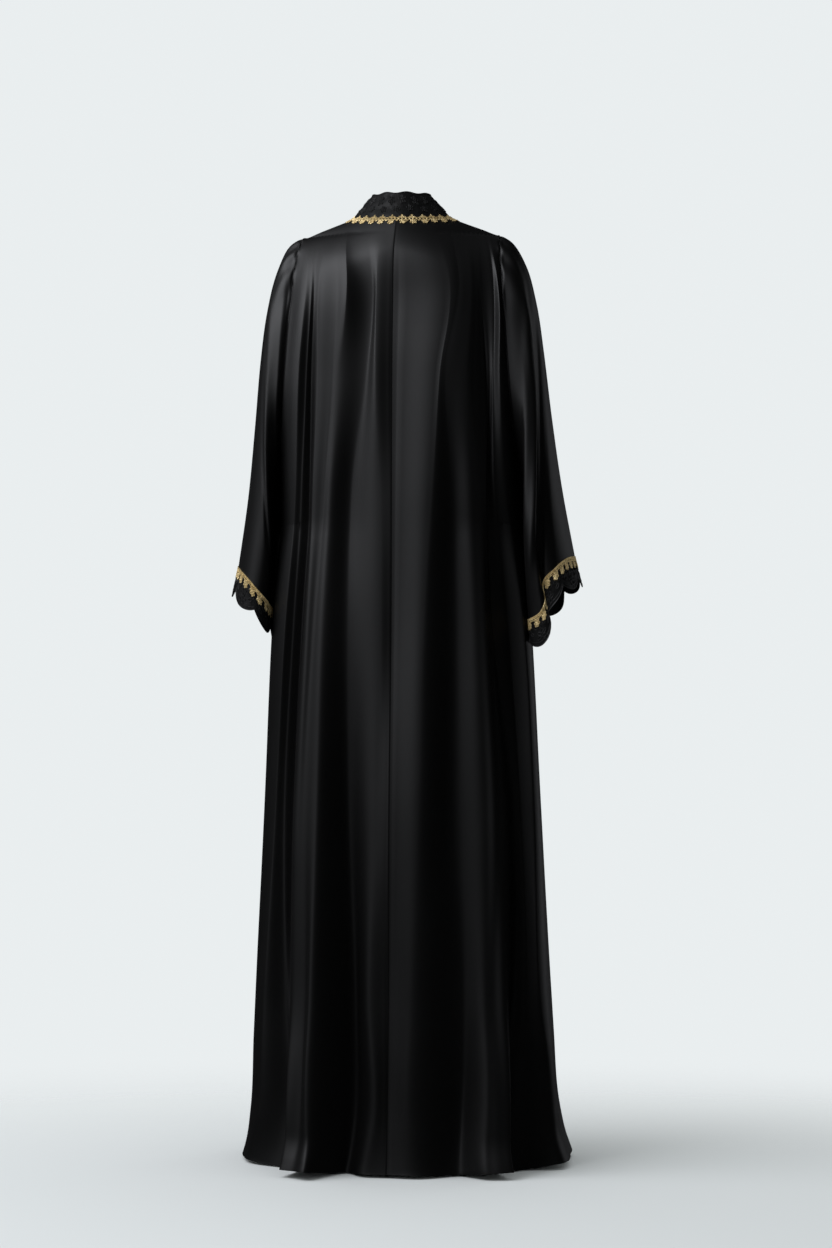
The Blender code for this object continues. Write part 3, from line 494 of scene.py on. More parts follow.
def distance_in(points, axis, backwards=False):
    """Distance along a grid's lines from its first or last line."""
    step = np.linalg.norm(np.diff(points, axis=axis), axis=-1)
    if backwards:
        step = np.flip(step, axis)
    total = np.cumsum(step, axis=axis)
    zero = np.zeros_like(np.take(total, [0], axis=axis))
    total = np.concatenate([zero, total], axis=axis)
    return np.flip(total, axis) if backwards else total


def creased(points, creases):
    """Move the points towards the eye, or away from it in front, by the depths of the creases."""
    near = points[..., 1] * math.cos(TURN) - points[..., 0] * math.sin(TURN)
    left = points[..., 0] * math.cos(TURN) + points[..., 1] * math.sin(TURN)
    nearer = VIEW_DISTANCE / (VIEW_DISTANCE - np.abs(near))
    height = EYE_HEIGHT + (points[..., 2] - EYE_HEIGHT) * nearer
    out = np.zeros(points.shape[:-1])
    for _name, heights, places, depths, width in creases:
        aside = left * nearer - curve(heights, places, height)
        out += curve(heights, depths, height) / 1000 * np.exp(-((aside / width) ** 2))
    out *= np.sign(near) * ease(0.0, 0.03, np.abs(near)) * np.where(near > 0, 1.0, 0.7)
    return out[..., None] * np.array([-math.sin(TURN), math.cos(TURN), 0.0])


def seam_roll(distance):
    return -ROLL_DEPTH * (1 - ease(0, 1, distance / ROLL_WIDTH))


def panel(name, folds, back, sign):
    """One body panel as grids of outer points and their outward normals."""
    down = row_shares()
    shares, heights, depths = [], [], []
    for k, f in fold_columns(folds, COLUMN_STEP[name]):
        height = np.full(len(down), ARMHOLE_TOP)
        low = hem_height(fold_values(folds, k, f, np.array([HEM_HEIGHT]))[1][0])
        for _ in range(TOP_ROUNDS):
            share, _d = fold_values(folds, k, f, height)
            half = body_size("half_width", height[0])
            x_top = half * math.sin(min(abs(share[0]), 1) * math.pi / 2) ** BODY_OVAL
            top = float(top_height(x_top, back))
            height = 0.5 * height + 0.5 * (top + (low - top) * down)
        share, depth = fold_values(folds, k, f, height)
        shares.append(share * sign)
        heights.append(height)
        depths.append(depth * ease(0.0, FOLDS_FADE, height[0] - height))
    share, height, depth = np.array(shares), np.array(heights), np.array(depths)
    for _ in range(FOLD_SOFTENING):
        depth[1:-1] = (depth[:-2] + 2 * depth[1:-1] + depth[2:]) / 4
    depth += HEM_KICK * np.maximum(depth, 0) * (1 - ease(0.0, HEM_KICK_HEIGHT, height)) * (back > 0)
    points = body_surface(share, height, back)
    flip = back * (1 if points[-1, 5, 0] > points[0, 5, 0] else -1)
    normals = grid_normals(points, False) * flip
    from_edge = 1 - np.abs(share[:, :ARMHOLE_COUNT])
    near = ease(0.0, 0.06, from_edge) * np.exp(-((from_edge / PANEL_GATHERS) ** 2))
    depth[:, :ARMHOLE_COUNT] += GATHER_DEPTH * near * GATHERS
    points = points + normals * depth[..., None]
    return finish_panel(points, flip, share, back)


def finish_panel(points, flip, share, back):
    """Put the edges in their places along the seams and roll the cloth in along them."""
    normals = grid_normals(points, False) * flip
    below = slice(ARMHOLE_COUNT - 1, None)
    for edge in (0, -1):
        if abs(share[edge, -1]) > SIDE:
            normals[edge, below, 1] = 0
            points[edge, below, 1] = back * SEAM_GAP / 2
            points[edge, :ARMHOLE_COUNT, 1] += back * SEAM_GAP / 2
        elif abs(share[edge, -1]) < 1e-6:
            normals[edge, :, 0] = 0
            inward = np.sign(points[-1, -1, 0] if edge == 0 else points[0, -1, 0])
            points[edge, :, 0] = -SEAM_GAP / 2 if inward < 0 else -SEAM_LAP
    sides = np.abs(share[:, -1]) > SIDE
    rim = normals[:, : ARMHOLE_COUNT - 1][sides]
    outward = np.sign(points[sides, 4, 0])[:, None]
    rim[..., 0] = np.maximum(rim[..., 0] * outward, 0.1) * outward
    normals[sides, : ARMHOLE_COUNT - 1] = rim
    top = np.abs(points[:, 0, 0]) > NECK_HALF_WIDTH - 1e-4
    normals[top, 0, 1] = 0
    points[top, 0, 1] = back * SEAM_GAP / 2
    normals = unit(normals)
    roll = np.zeros(points.shape[:2])
    above = np.ones(points.shape[1])
    above[:ARMHOLE_COUNT] = 1 - ease(*UNDERARM, ROUND_ARMHOLE)
    at_side = [above if abs(share[k, -1]) > SIDE else 1.0 for k in (0, -1)]
    if abs(share[0, -1]) < 1e-6 and points[-1, -1, 0] < 0:
        at_side[0] = SEAM_UPPER_ROLL
    roll += seam_roll(distance_in(points, 0)) * at_side[0]
    roll += seam_roll(distance_in(points, 0, backwards=True)) * at_side[1]
    roll += seam_roll(distance_in(points, 1)) * (np.abs(points[:, :1, 0]) > NECK_HALF_WIDTH)
    points = points + normals * roll[..., None]
    return points, normals


def along_ring(degrees):
    """Place between the head (1) and the point (-1) of a ring, and the side it is on."""
    c = np.cos(np.radians(degrees))
    return np.sign(c) * np.abs(c) ** OVAL, np.where(np.asarray(degrees) <= 180, 1.0, -1.0)


def sleeve(rings, folds, line, creases, sign):
    """One sleeve as a closed grid: columns round it, rows from armhole to cuff."""
    angle = np.concatenate([ROUND_ARMHOLE[:-1], 360 - ROUND_ARMHOLE[:0:-1]])
    t = np.linspace(0, 1, SLEEVE_FINE_ROWS + 1) ** SLEEVE_ROW_SPREAD
    c, half_turn = along_ring(angle)
    c, half_turn = c[:, None], half_turn[:, None]
    size = {name: curve(rings["along"], rings[name], t)[None, :] for name in rings}
    x = (size["outer_x"] + size["inner_x"]) / 2 + (size["outer_x"] - size["inner_x"]) / 2 * c
    z = (size["outer_z"] + size["inner_z"]) / 2 + (size["outer_z"] - size["inner_z"]) / 2 * c
    pointed = armhole_shape(c)
    full = np.where(half_turn > 0, ease(*BACK_FILLS[sign], t), ease(*FRONT_FILLS, t))
    width = pointed + (rounded(c) - pointed) * full
    y = half_turn * width * np.where(half_turn > 0, size["back"], size["front"])
    x = x - SLEEVE_LEAN * width * ease(0.1, 0.7, t)[None, :]
    aside = curve(line["place"], line["aside"], angle) / 1000
    lower = curve(line["place"], line["lower"], angle) / 1000
    x = x + aside[:, None] * ease(CUFF_ASIDE_FROM, 1.0, t)[None, :]
    z = z - lower[:, None] * ease(CUFF_LOWER_FROM, 1.0, t)[None, :]
    edge = body_size("half_width", z[:, :1]) + SEAM_GAP
    x = x + (edge - x[:, :1]) * (1 - t[None, :]) ** 4
    points = np.stack([sign * x, y, z], axis=-1)
    turned = grid_normals(points, True)
    flip = 1 if turned[0, SLEEVE_FINE_ROWS // 2, 0] * sign > 0 else -1
    turned = turned * flip
    places = [fold[1] for fold in folds] + [tuple(a + 360 for a in folds[0][1])]
    depths = [fold[2] for fold in folds] + [folds[0][2]]
    where = np.array([curve(SLEEVE_PLACES, p, t) for p in places])
    height = np.array([curve(SLEEVE_PLACES, d, t) for d in depths]) / 1000.0
    out = np.zeros(points.shape[:2])
    for j in range(len(t)):
        k = np.clip(np.searchsorted(where[:, j], angle, side="right") - 1, 0, len(places) - 2)
        f = (angle - where[k, j]) / (where[k + 1, j] - where[k, j])
        blend = 0.5 - 0.5 * np.cos(np.pi * f)
        out[:, j] = height[k, j] + (height[k + 1, j] - height[k, j]) * blend
    out *= ease(0.0, SLEEVE_FOLDS_FROM, t)[None, :]
    signs = np.concatenate([GATHERS[:-1], GATHERS[:0:-1]])
    fade = ease(0.0, 0.02, t) * np.exp(-((t / SLEEVE_GATHERS) ** 2))
    out += GATHER_DEPTH * signs[:, None] * fade[None, :]
    points = points + turned * out[..., None]
    points = points + creased(points, creases) * ease(0.0, 0.05, t)[None, :, None]
    normals = grid_normals(points, True) * flip
    normals[:, 0, 0] = 0
    normals = unit(normals)
    ring = points[:, -1] - points[:, -1].mean(0)
    facing = unit(np.cross(ring, np.roll(ring, -1, 0)).sum(0))
    normals[:, -1] = unit(normals[:, -1] - (normals[:, -1] @ facing)[:, None] * facing)
    from_head = np.minimum(angle, 360 - angle)[:, None]
    roll = seam_roll(distance_in(points, 1)) * (1 - ease(*UNDERARM, from_head))
    points = points + normals * roll[..., None]
    return points, normals


def refine(grid, times):
    """Cut each step round a closed grid into equal shorter steps."""
    following = np.roll(grid, -1, 0)
    steps = [grid + (following - grid) * (i / times) for i in range(times)]
    return np.stack(steps, axis=1).reshape(-1, *grid.shape[1:])


def evened(grid, times):
    """Even out a closed ring of values."""
    for _ in range(times):
        grid = (np.roll(grid, 1, 0) + 2 * grid + np.roll(grid, -1, 0)) / 4
    return grid


def cuff_frame(points, normals):
    """The sleeve's last row, the way it runs on and the way out, in finer steps."""
    onward = evened(unit(points[:, -1] - points[:, -4]), CUFF_EVENING)
    ring, onward, outward = (refine(v, 4) for v in (points[:, -1], unit(onward), normals[:, -1]))
    return ring, unit(unit(onward) + LACE_FLARE * outward), outward


def distance_round(ring):
    step = np.linalg.norm(np.roll(ring, -1, 0) - ring, axis=-1)
    return np.concatenate([[0], np.cumsum(step)])


def resample(ring, others, count):
    """A closed ring cut into equal steps, with the values that go along with it."""
    along = distance_round(ring)
    at = np.arange(count) / count * along[-1]
    i = np.clip(np.searchsorted(along, at, side="right") - 1, 0, len(ring) - 1)
    f = ((at - along[i]) / (along[i + 1] - along[i]))[:, None]
    k = (i + 1) % len(ring)
    return [v[i] + (v[k] - v[i]) * f for v in [ring, *others]]


def scallop(ring, side):
    """How far each place bulges, from 0 at a notch to 1."""
    along = distance_round(ring)
    f = ((along[:-1] - FIRST_NOTCH[side]) / along[-1] * SCALLOPS[side]) % 1.0
    return 1 - (2 * f - 1) ** 2


class Strip:
    """A closed band of cloth that thread is laid on. place() turns distance round the band,
    distance across it and height over it into points, with the way out at each."""

    def __init__(self, rows, normals, across):
        self.rows = rows
        self.normals = normals
        self.across = np.asarray(across, float)
        self.along = distance_round(rows[:, len(across) // 2])
        self.length = self.along[-1]

    def place(self, s, v, lift):
        s = np.mod(np.asarray(s, float), self.length)
        v = np.broadcast_to(np.clip(v, self.across[0], self.across[-1]), s.shape)
        n = len(self.rows)
        i = np.clip(np.searchsorted(self.along, s, side="right") - 1, 0, n - 1)
        f = ((s - self.along[i]) / (self.along[i + 1] - self.along[i]))[:, None]
        k = (i + 1) % n
        j = np.clip(np.searchsorted(self.across, v, side="right") - 1, 0, len(self.across) - 2)
        g = ((v - self.across[j]) / (self.across[j + 1] - self.across[j]))[:, None]
        found = []
        for grid in (self.rows, self.normals):
            first = grid[i, j] + (grid[k, j] - grid[i, j]) * f
            second = grid[i, j + 1] + (grid[k, j + 1] - grid[i, j + 1]) * f
            found.append(first + (second - first) * g)
        out = unit(found[1])
        return found[0] + out * np.broadcast_to(lift, s.shape)[:, None], out


class Mesh:
    """Corners and faces gathered for one piece."""

    def __init__(self):
        self.corners, self.faces, self.count = [], [], 0

    def add(self, corners, faces):
        self.corners.append(corners)
        self.faces.append(faces + self.count)
        self.count += len(corners)

    def thread(self, points, out, radius, sides=5, closed=True):
        """A round thread along a path of points."""
        if closed:
            run = np.roll(points, -1, 0) - np.roll(points, 1, 0)
        else:
            run = np.gradient(points, axis=0)
        run = unit(run)
        up = unit(out - np.sum(out * run, axis=1, keepdims=True) * run)
        side = np.cross(run, up)
        radius = np.broadcast_to(radius, (len(points),)).copy()
        if not closed:
            radius[[0, -1]] *= 0.35
        turn = np.arange(sides) / sides * 2 * np.pi
        cos, sin = np.cos(turn)[None, :, None], np.sin(turn)[None, :, None]
        ring = up[:, None] * cos + side[:, None] * sin
        corners = (points[:, None] + ring * radius[:, None, None]).reshape(-1, 3)
        n = len(points)
        i = np.arange(n if closed else n - 1)
        j = np.arange(sides)
        a = i[:, None] * sides + j[None, :]
        b = i[:, None] * sides + (j[None, :] + 1) % sides
        c = ((i[:, None] + 1) % n) * sides + (j[None, :] + 1) % sides
        d = ((i[:, None] + 1) % n) * sides + j[None, :]
        faces = np.stack([a, d, c, b], axis=-1).reshape(-1, 4)
        self.add(corners, faces)
        if not closed:
            half = sides // 2
            for start, order in ((0, 1), ((n - 1) * sides, -1)):
                cap = np.array([start, start + 1, start + half, start + sides - 1])[::order]
                self.faces.append(cap[None] + self.count - len(corners))


def make(name, mesh_data, materials, node):
    """A piece of the garment from corners and faces, in place of a solid."""
    corners, faces, face_materials, weave = mesh_data
    mesh = bpy.data.meshes.new(name)
    mesh.vertices.add(len(corners))
    mesh.vertices.foreach_set("co", np.asarray(corners, np.float32).ravel())
    mesh.loops.add(faces.size)
    mesh.loops.foreach_set("vertex_index", faces.astype(np.int32).ravel())
    mesh.polygons.add(len(faces))
    mesh.polygons.foreach_set("loop_start", np.arange(0, faces.size, 4, dtype=np.int32))
    mesh.polygons.foreach_set("loop_total", np.full(len(faces), 4, np.int32))
    mesh.polygons.foreach_set("material_index", face_materials.astype(np.int32))
    mesh.update(calc_edges=True)
    mesh.validate()
    mesh.shade_smooth()
    mesh.set_sharp_from_angle(angle=math.radians(60))
    if weave is not None:
        made = mesh.attributes.new("weave", "FLOAT_VECTOR", "POINT")
        made.data.foreach_set("vector", weave.astype(np.float32).ravel())
    for material in materials:
        mesh.materials.append(material)
    piece = bpy.data.objects.new(name, mesh)
    bpy.context.scene.collection.objects.link(piece)
    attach(piece, "root")
    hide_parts(node)
    return piece


def numbered(nu, nv, closed):
    """The corner numbers of a grid; a closed one ends with its first column again."""
    index = np.arange(nu * nv).reshape(nu, nv)
    return np.vstack([index, index[:1]]) if closed else index


def quads(index):
    a, b, c, d = index[:-1, :-1], index[1:, :-1], index[1:, 1:], index[:-1, 1:]
    return np.stack([a, b, c, d], axis=-1).reshape(-1, 4)


def shell(points, normals, wall, closed):
    """A sheet of cloth with both its faces: corners, faces, which material each face has and
    the place of each corner along the weave."""
    points = points - ORIGIN
    nu, nv = points.shape[:2]
    n = nu * nv
    index = numbered(nu, nv, closed)
    front = quads(index)
    rims = [(index[:, 0], 1), (index[:, -1], -1)]
    if not closed:
        rims += [(index[0], -1), (index[-1], 1)]
    sides = []
    for line, order in rims:
        quad = np.stack([line[:-1], line[:-1] + n, line[1:] + n, line[1:]], axis=-1)
        sides.append(quad[:, ::order])
    sides = np.concatenate(sides)
    faces = np.concatenate([front, front[:, ::-1] + n, sides])
    kinds = np.concatenate([np.zeros(len(front)), np.ones(len(front)), np.zeros(len(sides))])
    corners = np.concatenate([points.reshape(-1, 3), (points - normals * wall).reshape(-1, 3)])
    corners[:, 2] = np.maximum(corners[:, 2], FLOOR_GAP - SHOULDER_HEIGHT)
    q = corners[front[len(front) // 2]]
    outward = normals.reshape(-1, 3)[front[len(front) // 2][0]]
    if np.dot(np.cross(q[1] - q[0], q[2] - q[0]), outward) < 0:
        faces = faces[:, ::-1]
    across = distance_in(points, 0)
    across = np.broadcast_to(across[:, nv // 2 : nv // 2 + 1], (nu, nv))
    along = distance_in(points, 1)
    weave = np.stack([across, along, 0 * along], axis=-1).reshape(-1, 3)
    return corners, faces, kinds, np.concatenate([weave, weave])


def neck_ring(back_left, back_right, front):
    """The panel edges round the neck as one closed ring, with the panel's normals there and
    the neckband's top edge over it."""
    stops = []
    for (points, normals), lowest, turn in (
        (back_right, -1.0, 1),
        (back_left, 0.001, 1),
        (front, -1.0, -1),
    ):
        x = points[:, 0, 0]
        limit = NECK_HALF_WIDTH + (1e-4 if turn > 0 else -1e-3)
        picks = [i for i in range(len(x)) if lowest < x[i] and abs(x[i]) < limit]
        picks.sort(key=lambda i: turn * x[i])
        stops += [(points[i, 0], normals[i, 0]) for i in picks]
    edge, normals = np.array(stops).transpose(1, 0, 2)
    q = np.clip(np.abs(edge[:, 0]) / NECK_HALF_WIDTH, 0, 1)
    behind = edge[:, 1] > 0
    top = edge.copy()
    top[:, 0] *= BAND_LEAN
    top[:, 1] = np.where(behind, edge[:, 1] * BAND_BACK_LEAN, edge[:, 1] * BAND_FRONT_LEAN)
    top[:, 1] += BAND_FORWARD
    rise = BAND_FRONT_RISE + (BAND_RISE - BAND_FRONT_RISE) * q**0.5
    top[:, 2] += np.where(behind, BAND_RISE + BAND_CROWN * (1 - q**2), rise)
    return edge, normals, top


def outer_surface(grids, closed):
    """The outer faces of some grids, to lay other pieces on."""
    corners, faces = [], []
    for points in grids:
        index = numbered(*points.shape[:2], closed) + len(corners)
        corners += points.reshape(-1, 3).tolist()
        faces += quads(index).tolist()
    return BVHTree.FromPolygons(corners, faces)


def laid_on(surface, points):
    return np.array([tuple(surface.find_nearest(p)[0]) for p in points.tolist()])


def node(tree, kind, **settings):
    made = tree.nodes.new(kind)
    for name, value in settings.items():
        if name in made.inputs:
            made.inputs[name].default_value = value
        else:
            setattr(made, name.lower(), value)
    return made


def weave_place(tree, scale):
    """The place along the weave in metres, stretched by a scale for each direction."""
    place = node(tree, "ShaderNodeAttribute", attribute_name="weave")
    mapping = node(tree, "ShaderNodeMapping", Scale=scale)
    tree.links.new(place.outputs["Vector"], mapping.inputs["Vector"])
    return mapping.outputs["Vector"]


def object_place(tree):
    return node(tree, "ShaderNodeTexCoord").outputs["Object"]


def texture(tree, place, kind="Noise", output="Fac", **settings):
    made = node(tree, "ShaderNodeTex" + kind, **settings)
    tree.links.new(place, made.inputs["Vector"])
    return made.outputs[output]


def vary(tree, socket, source, between, first, second):
    """Move a socket from one value or colour to another as a texture goes between two values."""
    made = node(tree, "ShaderNodeValToRGB")
    for element, position, value in zip(made.color_ramp.elements, between, (first, second)):
        element.position = position
        element.color = value if isinstance(value, tuple) else (value, value, value, 1)
    tree.links.new(source, made.inputs["Fac"])
    tree.links.new(made.outputs["Color"], socket)


def raise_grain(tree, shader, *layers):
    """Bump in layers over each other: height, strength and depth in metres, below 0 if raised
    where the texture is low."""
    below = None
    for height, strength, depth in layers:
        made = node(
            tree, "ShaderNodeBump", Strength=strength, Distance=abs(depth), invert=depth < 0
        )
        tree.links.new(height, made.inputs["Height"])
        if below:
            tree.links.new(below, made.inputs["Normal"])
        below = made.outputs["Normal"]
    tree.links.new(below, shader.inputs["Normal"])


def new_material(name, **settings):
    """A material with a principled shader, some of whose values are set."""
    material = bpy.data.materials.new(name)
    material.use_nodes = True
    tree = material.node_tree
    shader = tree.nodes["Principled BSDF"]
    for socket, value in settings.items():
        shader.inputs[socket.replace("_", " ")].default_value = value
    return material, tree, shader


def grey(value):
    return (value, value, value * 1.04, 1.0)


def satin(name, dark, light, rough_low, rough_high, specular, sheen, grain):
    """Crepe-backed satin: a fine pebbled grain, a soft lustre and slow cloudy variation."""
    material, tree, shader = new_material(
        name, Specular_IOR_Level=specular, Sheen_Weight=sheen, Sheen_Roughness=0.4
    )
    place = weave_place(tree, (1, 0.35, 1))
    cloud = texture(tree, place, Scale=9.0, Detail=3.0, Roughness=0.55)
    vary(tree, shader.inputs["Base Color"], cloud, (0.3, 0.7), grey(dark), grey(light))
    vary(tree, shader.inputs["Roughness"], cloud, (0.3, 0.7), rough_low, rough_high)
    place = weave_place(tree, (1, 0.8, 1))
    pebble = texture(tree, place, Scale=1500.0, Detail=2.0, Roughness=0.6)
    place = weave_place(tree, (1, 0.25, 1))
    slack = texture(tree, place, Scale=30.0, Detail=2.0, Roughness=0.5)
    raise_grain(tree, shader, (pebble, grain, 0.00012), (slack, 0.25, 0.0008))
    return material


def lace(name):
    """Fine net with worked thread: small dark meshes between raised threads."""
    material, tree, shader = new_material(name, Specular_IOR_Level=0.22)
    place = weave_place(tree, (1, 1, 1))
    net = texture(tree, place, "Voronoi", "Distance", Scale=620.0, feature="DISTANCE_TO_EDGE")
    worked = texture(tree, place, Scale=95.0, Detail=2.0)
    vary(tree, shader.inputs["Base Color"], net, (0.02, 0.22), grey(0.0060), grey(0.0012))
    vary(tree, shader.inputs["Roughness"], worked, (0.4, 0.6), 0.55, 0.75)
    raise_grain(tree, shader, (net, 0.9, -0.0004), (worked, 0.6, 0.0008))
    return material


def thread(name, dark, light, metallic, rough):
    """Spun thread: fine turns along it and a slow change of tone."""
    material, tree, shader = new_material(name, Metallic=metallic)
    cloud = texture(tree, object_place(tree), Scale=260.0, Detail=3.0)
    vary(tree, shader.inputs["Base Color"], cloud, (0.35, 0.65), dark, light)
    vary(tree, shader.inputs["Roughness"], cloud, (0.35, 0.65), rough + 0.08, rough - 0.08)
    spun = texture(tree, object_place(tree), Scale=3200.0, Detail=1.0)
    raise_grain(tree, shader, (spun, 0.6, 0.0001))
    return material


SATIN = satin("satin_crepe", 0.0011, 0.0017, 0.49, 0.55, 0.56, 0.0, 0.35)
SATIN_BACK = satin("satin_reverse", 0.007, 0.010, 0.62, 0.72, 0.35, 0.1, 0.6)
LACE = lace("corded_lace")
LACE_THREAD = thread("lace_thread", grey(0.004), grey(0.009), 0.0, 0.55)
GOLD = thread("gold_thread", (0.50, 0.355, 0.150, 1), (0.90, 0.72, 0.385, 1), 0.6, 0.42)

grids = {}
pieces = {}
for name, folds, back, sign in (
    ("back_left", BACK_LEFT_FOLDS, 1, 1),
    ("back_right", BACK_RIGHT_FOLDS, 1, -1),
    ("front", FRONT_FOLDS, -1, 1),
):
    grids[name] = panel(name, folds, back, sign)
for name, rings, folds, line, creases, sign in (
    ("sleeve_left", LEFT_SLEEVE, LEFT_SLEEVE_FOLDS, LEFT_CUFF_LINE, SLEEVE_LEFT_CREASES, 1),
    ("sleeve_right", RIGHT_SLEEVE, RIGHT_SLEEVE_FOLDS, RIGHT_CUFF_LINE, SLEEVE_RIGHT_CREASES, -1),
):
    grids[name] = sleeve(rings, folds, line, creases, sign)
for name, grid in grids.items():
    form = shell(*grid, SHEET_WALL, name.startswith("sleeve"))
    pieces[name] = make("cloth_" + name, form, [SATIN, SATIN_BACK], name)

# Gold crochet braid: all of it is thread laid on a strip of the cloth under it. Sizes of thread
# are radii, and the lift is how far over the cloth the thread lies.
CORD_TURN = 0.0032
CORD_STEPS = 7
STRAND_ASIDE = 0.55
STRAND_SIZE = 0.62
BRAID_PERIOD = 0.0177
BRAID_CORD = 0.00075
BRAID_FINE = 0.0006
CUFF_LIFT = 0.0009
CUFF_BANDS = (0.0002, 0.0028)
NECK_LIFT = 0.0011
NECK_BAND = 0.0022
CUFF_FLOWER = dict(reach=0.0038, petal=(0.0019, 0.0014), radius=BRAID_CORD, lift=CUFF_LIFT)
NECK_FLOWER = dict(reach=0.0033, petal=(0.0018, 0.0013), radius=0.0007, lift=0.0010)
LACE_FLOWER = dict(reach=0.0062, petal=(0.0036, 0.0023), radius=LACE_CORD, lift=LACE_CORD)


def loop(mesh, strip, s, v, size, turned, radius, lift, steps=10):
    """A small closed loop of thread: size is its half length along and across the strip."""
    a = np.arange(steps) / steps * 2 * np.pi
    x, y = size[0] * np.cos(a), size[1] * np.sin(a)
    ds = x * math.cos(turned) - y * math.sin(turned)
    dv = x * math.sin(turned) + y * math.cos(turned)
    points, out = strip.place(s + ds, v + dv, lift)
    mesh.thread(points, out, radius)


def cord(mesh, strip, v, radius, lift):
    """Two strands twisted together all round the strip."""
    n = round(strip.length / CORD_TURN) * CORD_STEPS
    s = np.arange(n) / n * strip.length
    turn = np.arange(n) / CORD_STEPS * 2 * np.pi
    for phase in (0.0, np.pi):
        across = v + radius * STRAND_ASIDE * np.cos(turn + phase)
        over = lift + radius * STRAND_ASIDE * np.sin(turn + phase)
        points, out = strip.place(s, across, over)
        mesh.thread(points, out, radius * STRAND_SIZE, sides=4)


def zigzag(mesh, strip, low, high, period, radius, lift):
    n = round(strip.length / period) * 6
    s = np.arange(n) / n * strip.length
    swing = np.cos(np.arange(n) / 6 * 2 * np.pi)
    points, out = strip.place(s, (low + high) / 2 + (high - low) / 2 * swing, lift)
    mesh.thread(points, out, radius, sides=4)


def bar(mesh, strip, s, low, high, radius, lift):
    points, out = strip.place(np.full(4, s), np.linspace(low, high, 4), lift)
    mesh.thread(points, out, radius, closed=False)


def flower(mesh, strip, s, v, petals, reach, petal, radius, lift, turned=0.0):
    """Petals of thread round a small open ring."""
    for k in range(petals):
        a = turned + 2 * math.pi * k / petals
        loop(mesh, strip, s + reach * math.cos(a), v + reach * math.sin(a), petal, a, radius, lift)
    loop(mesh, strip, s, v, (0.0014, 0.0014), 0.0, radius * 0.8, lift + 0.0003, steps=8)


def uneven(k, amount):
    """A small hand-made difference from one motif to the next."""
    return amount * math.sin(2.4 * k + 0.7 * math.sin(1.7 * k))


def cuff_braid(strip):
    mesh = Mesh()
    cord(mesh, strip, 0.0052, 0.00085, CUFF_LIFT)
    zigzag(mesh, strip, 0.0029, 0.0050, 0.0030, 0.00055, 0.0008)
    for v in CUFF_BANDS[::-1]:
        cord(mesh, strip, v, BRAID_CORD, CUFF_LIFT)
    count = round(strip.length / BRAID_PERIOD)
    period = strip.length / count
    for k in range(count * 3):
        bar(mesh, strip, k * period / 3 + period / 6, *CUFF_BANDS, 0.0008, CUFF_LIFT)
    for k in range(count):
        s = k * period + uneven(k, 0.0006)
        v = -0.0062 + uneven(k + 3, 0.0004)
        flower(mesh, strip, s, v, 6, **CUFF_FLOWER, turned=0.5 + uneven(k, 0.3))
        for side in (-1, 1):
            along = s + side * np.linspace(0.0062, 0.0022, 5)
            points, out = strip.place(along, np.linspace(-0.0002, -0.0032, 5), 0.0008)
            mesh.thread(points, out, BRAID_FINE, closed=False)
    return mesh


def neck_braid(strip, start):
    mesh = Mesh()
    count = round(strip.length / BRAID_PERIOD)
    period = strip.length / count
    for v in (NECK_BAND, -NECK_BAND):
        cord(mesh, strip, v, BRAID_CORD, NECK_LIFT)
    for k in range(count * 3):
        s = start + (k + 0.5) * period / 3
        loop(mesh, strip, s, 0.0, (period / 6, 0.0021), 0.0, 0.0007, NECK_LIFT)
    for k in range(count):
        s = start + k * period + uneven(k, 0.0007)
        for ds, dv in ((-0.0036, 0.0034), (0.0, 0.0040), (0.0036, 0.0034)):
            loop(mesh, strip, s + ds, dv, (0.0014, 0.0011), 0.0, BRAID_FINE, NECK_LIFT, steps=8)
        loop(mesh, strip, s, 0.0062, (0.0010, 0.0013), 0.0, BRAID_FINE, NECK_LIFT, steps=8)
        v = -0.0064 + uneven(k + 2, 0.0004)
        flower(mesh, strip, s, v, 6, **NECK_FLOWER, turned=0.5 + uneven(k, 0.3))
        loop(mesh, strip, s + period / 2, -0.0038, (0.0013, 0.0010), 0.0, BRAID_FINE, 0.0010, 8)
    return mesh


def cuff_strip(rows, outward, across):
    return Strip(
        np.stack(rows, axis=1), np.repeat(outward[:, None], len(across), axis=1), across
    )


def lace_edge(mesh, rows, normals):
    """A corded rim along the last row and a finer thread just inside it."""
    mesh.thread(rows[:, -1], normals, LACE_RIM)
    mesh.thread((0.86 * rows[:, -1] + 0.14 * rows[:, 0])[::2], normals[::2], LACE_FINE)


def cuff_lace_work(mesh, strip, first, count):
    """A flower in every scallop, with leaves beside it and a row of small loops above."""
    period = strip.length / count
    for k in range(count):
        s = first + (k + 0.5) * period + uneven(k, 0.001)
        flower(mesh, strip, s, -0.0275, 6, **LACE_FLOWER, turned=uneven(k, 0.4))
        for side in (-1, 1):
            leaf = s + side * period * 0.31
            loop(mesh, strip, leaf, -0.0205, (0.0044, 0.0022), side * 0.7, LACE_CORD, LACE_CORD)
    small = round(strip.length / 0.009)
    for k in range(small):
        s = (k + 0.5) * strip.length / small
        turned = 0.5 * (-1) ** k
        loop(mesh, strip, s, -0.0135, (0.0032, 0.0020), turned, LACE_FINE, LACE_CORD, steps=8)


def neck_lace_work(mesh, strip):
    """Two staggered rows of small flowers, closer together towards the trim."""
    count = round(strip.length / 0.021)
    period = strip.length / count
    for k in range(count):
        for share, across, reach in ((0.0, 0.014, 0.0034), (0.5, 0.0265, 0.0040)):
            s = (k + share) * period + uneven(k, 0.0012)
            petal = (reach * 0.55, reach * 0.4)
            v = across + uneven(k + 5, 0.0010)
            flower(mesh, strip, s, v, 5, reach, petal, LACE_FINE, LACE_CORD, uneven(k, 0.8))


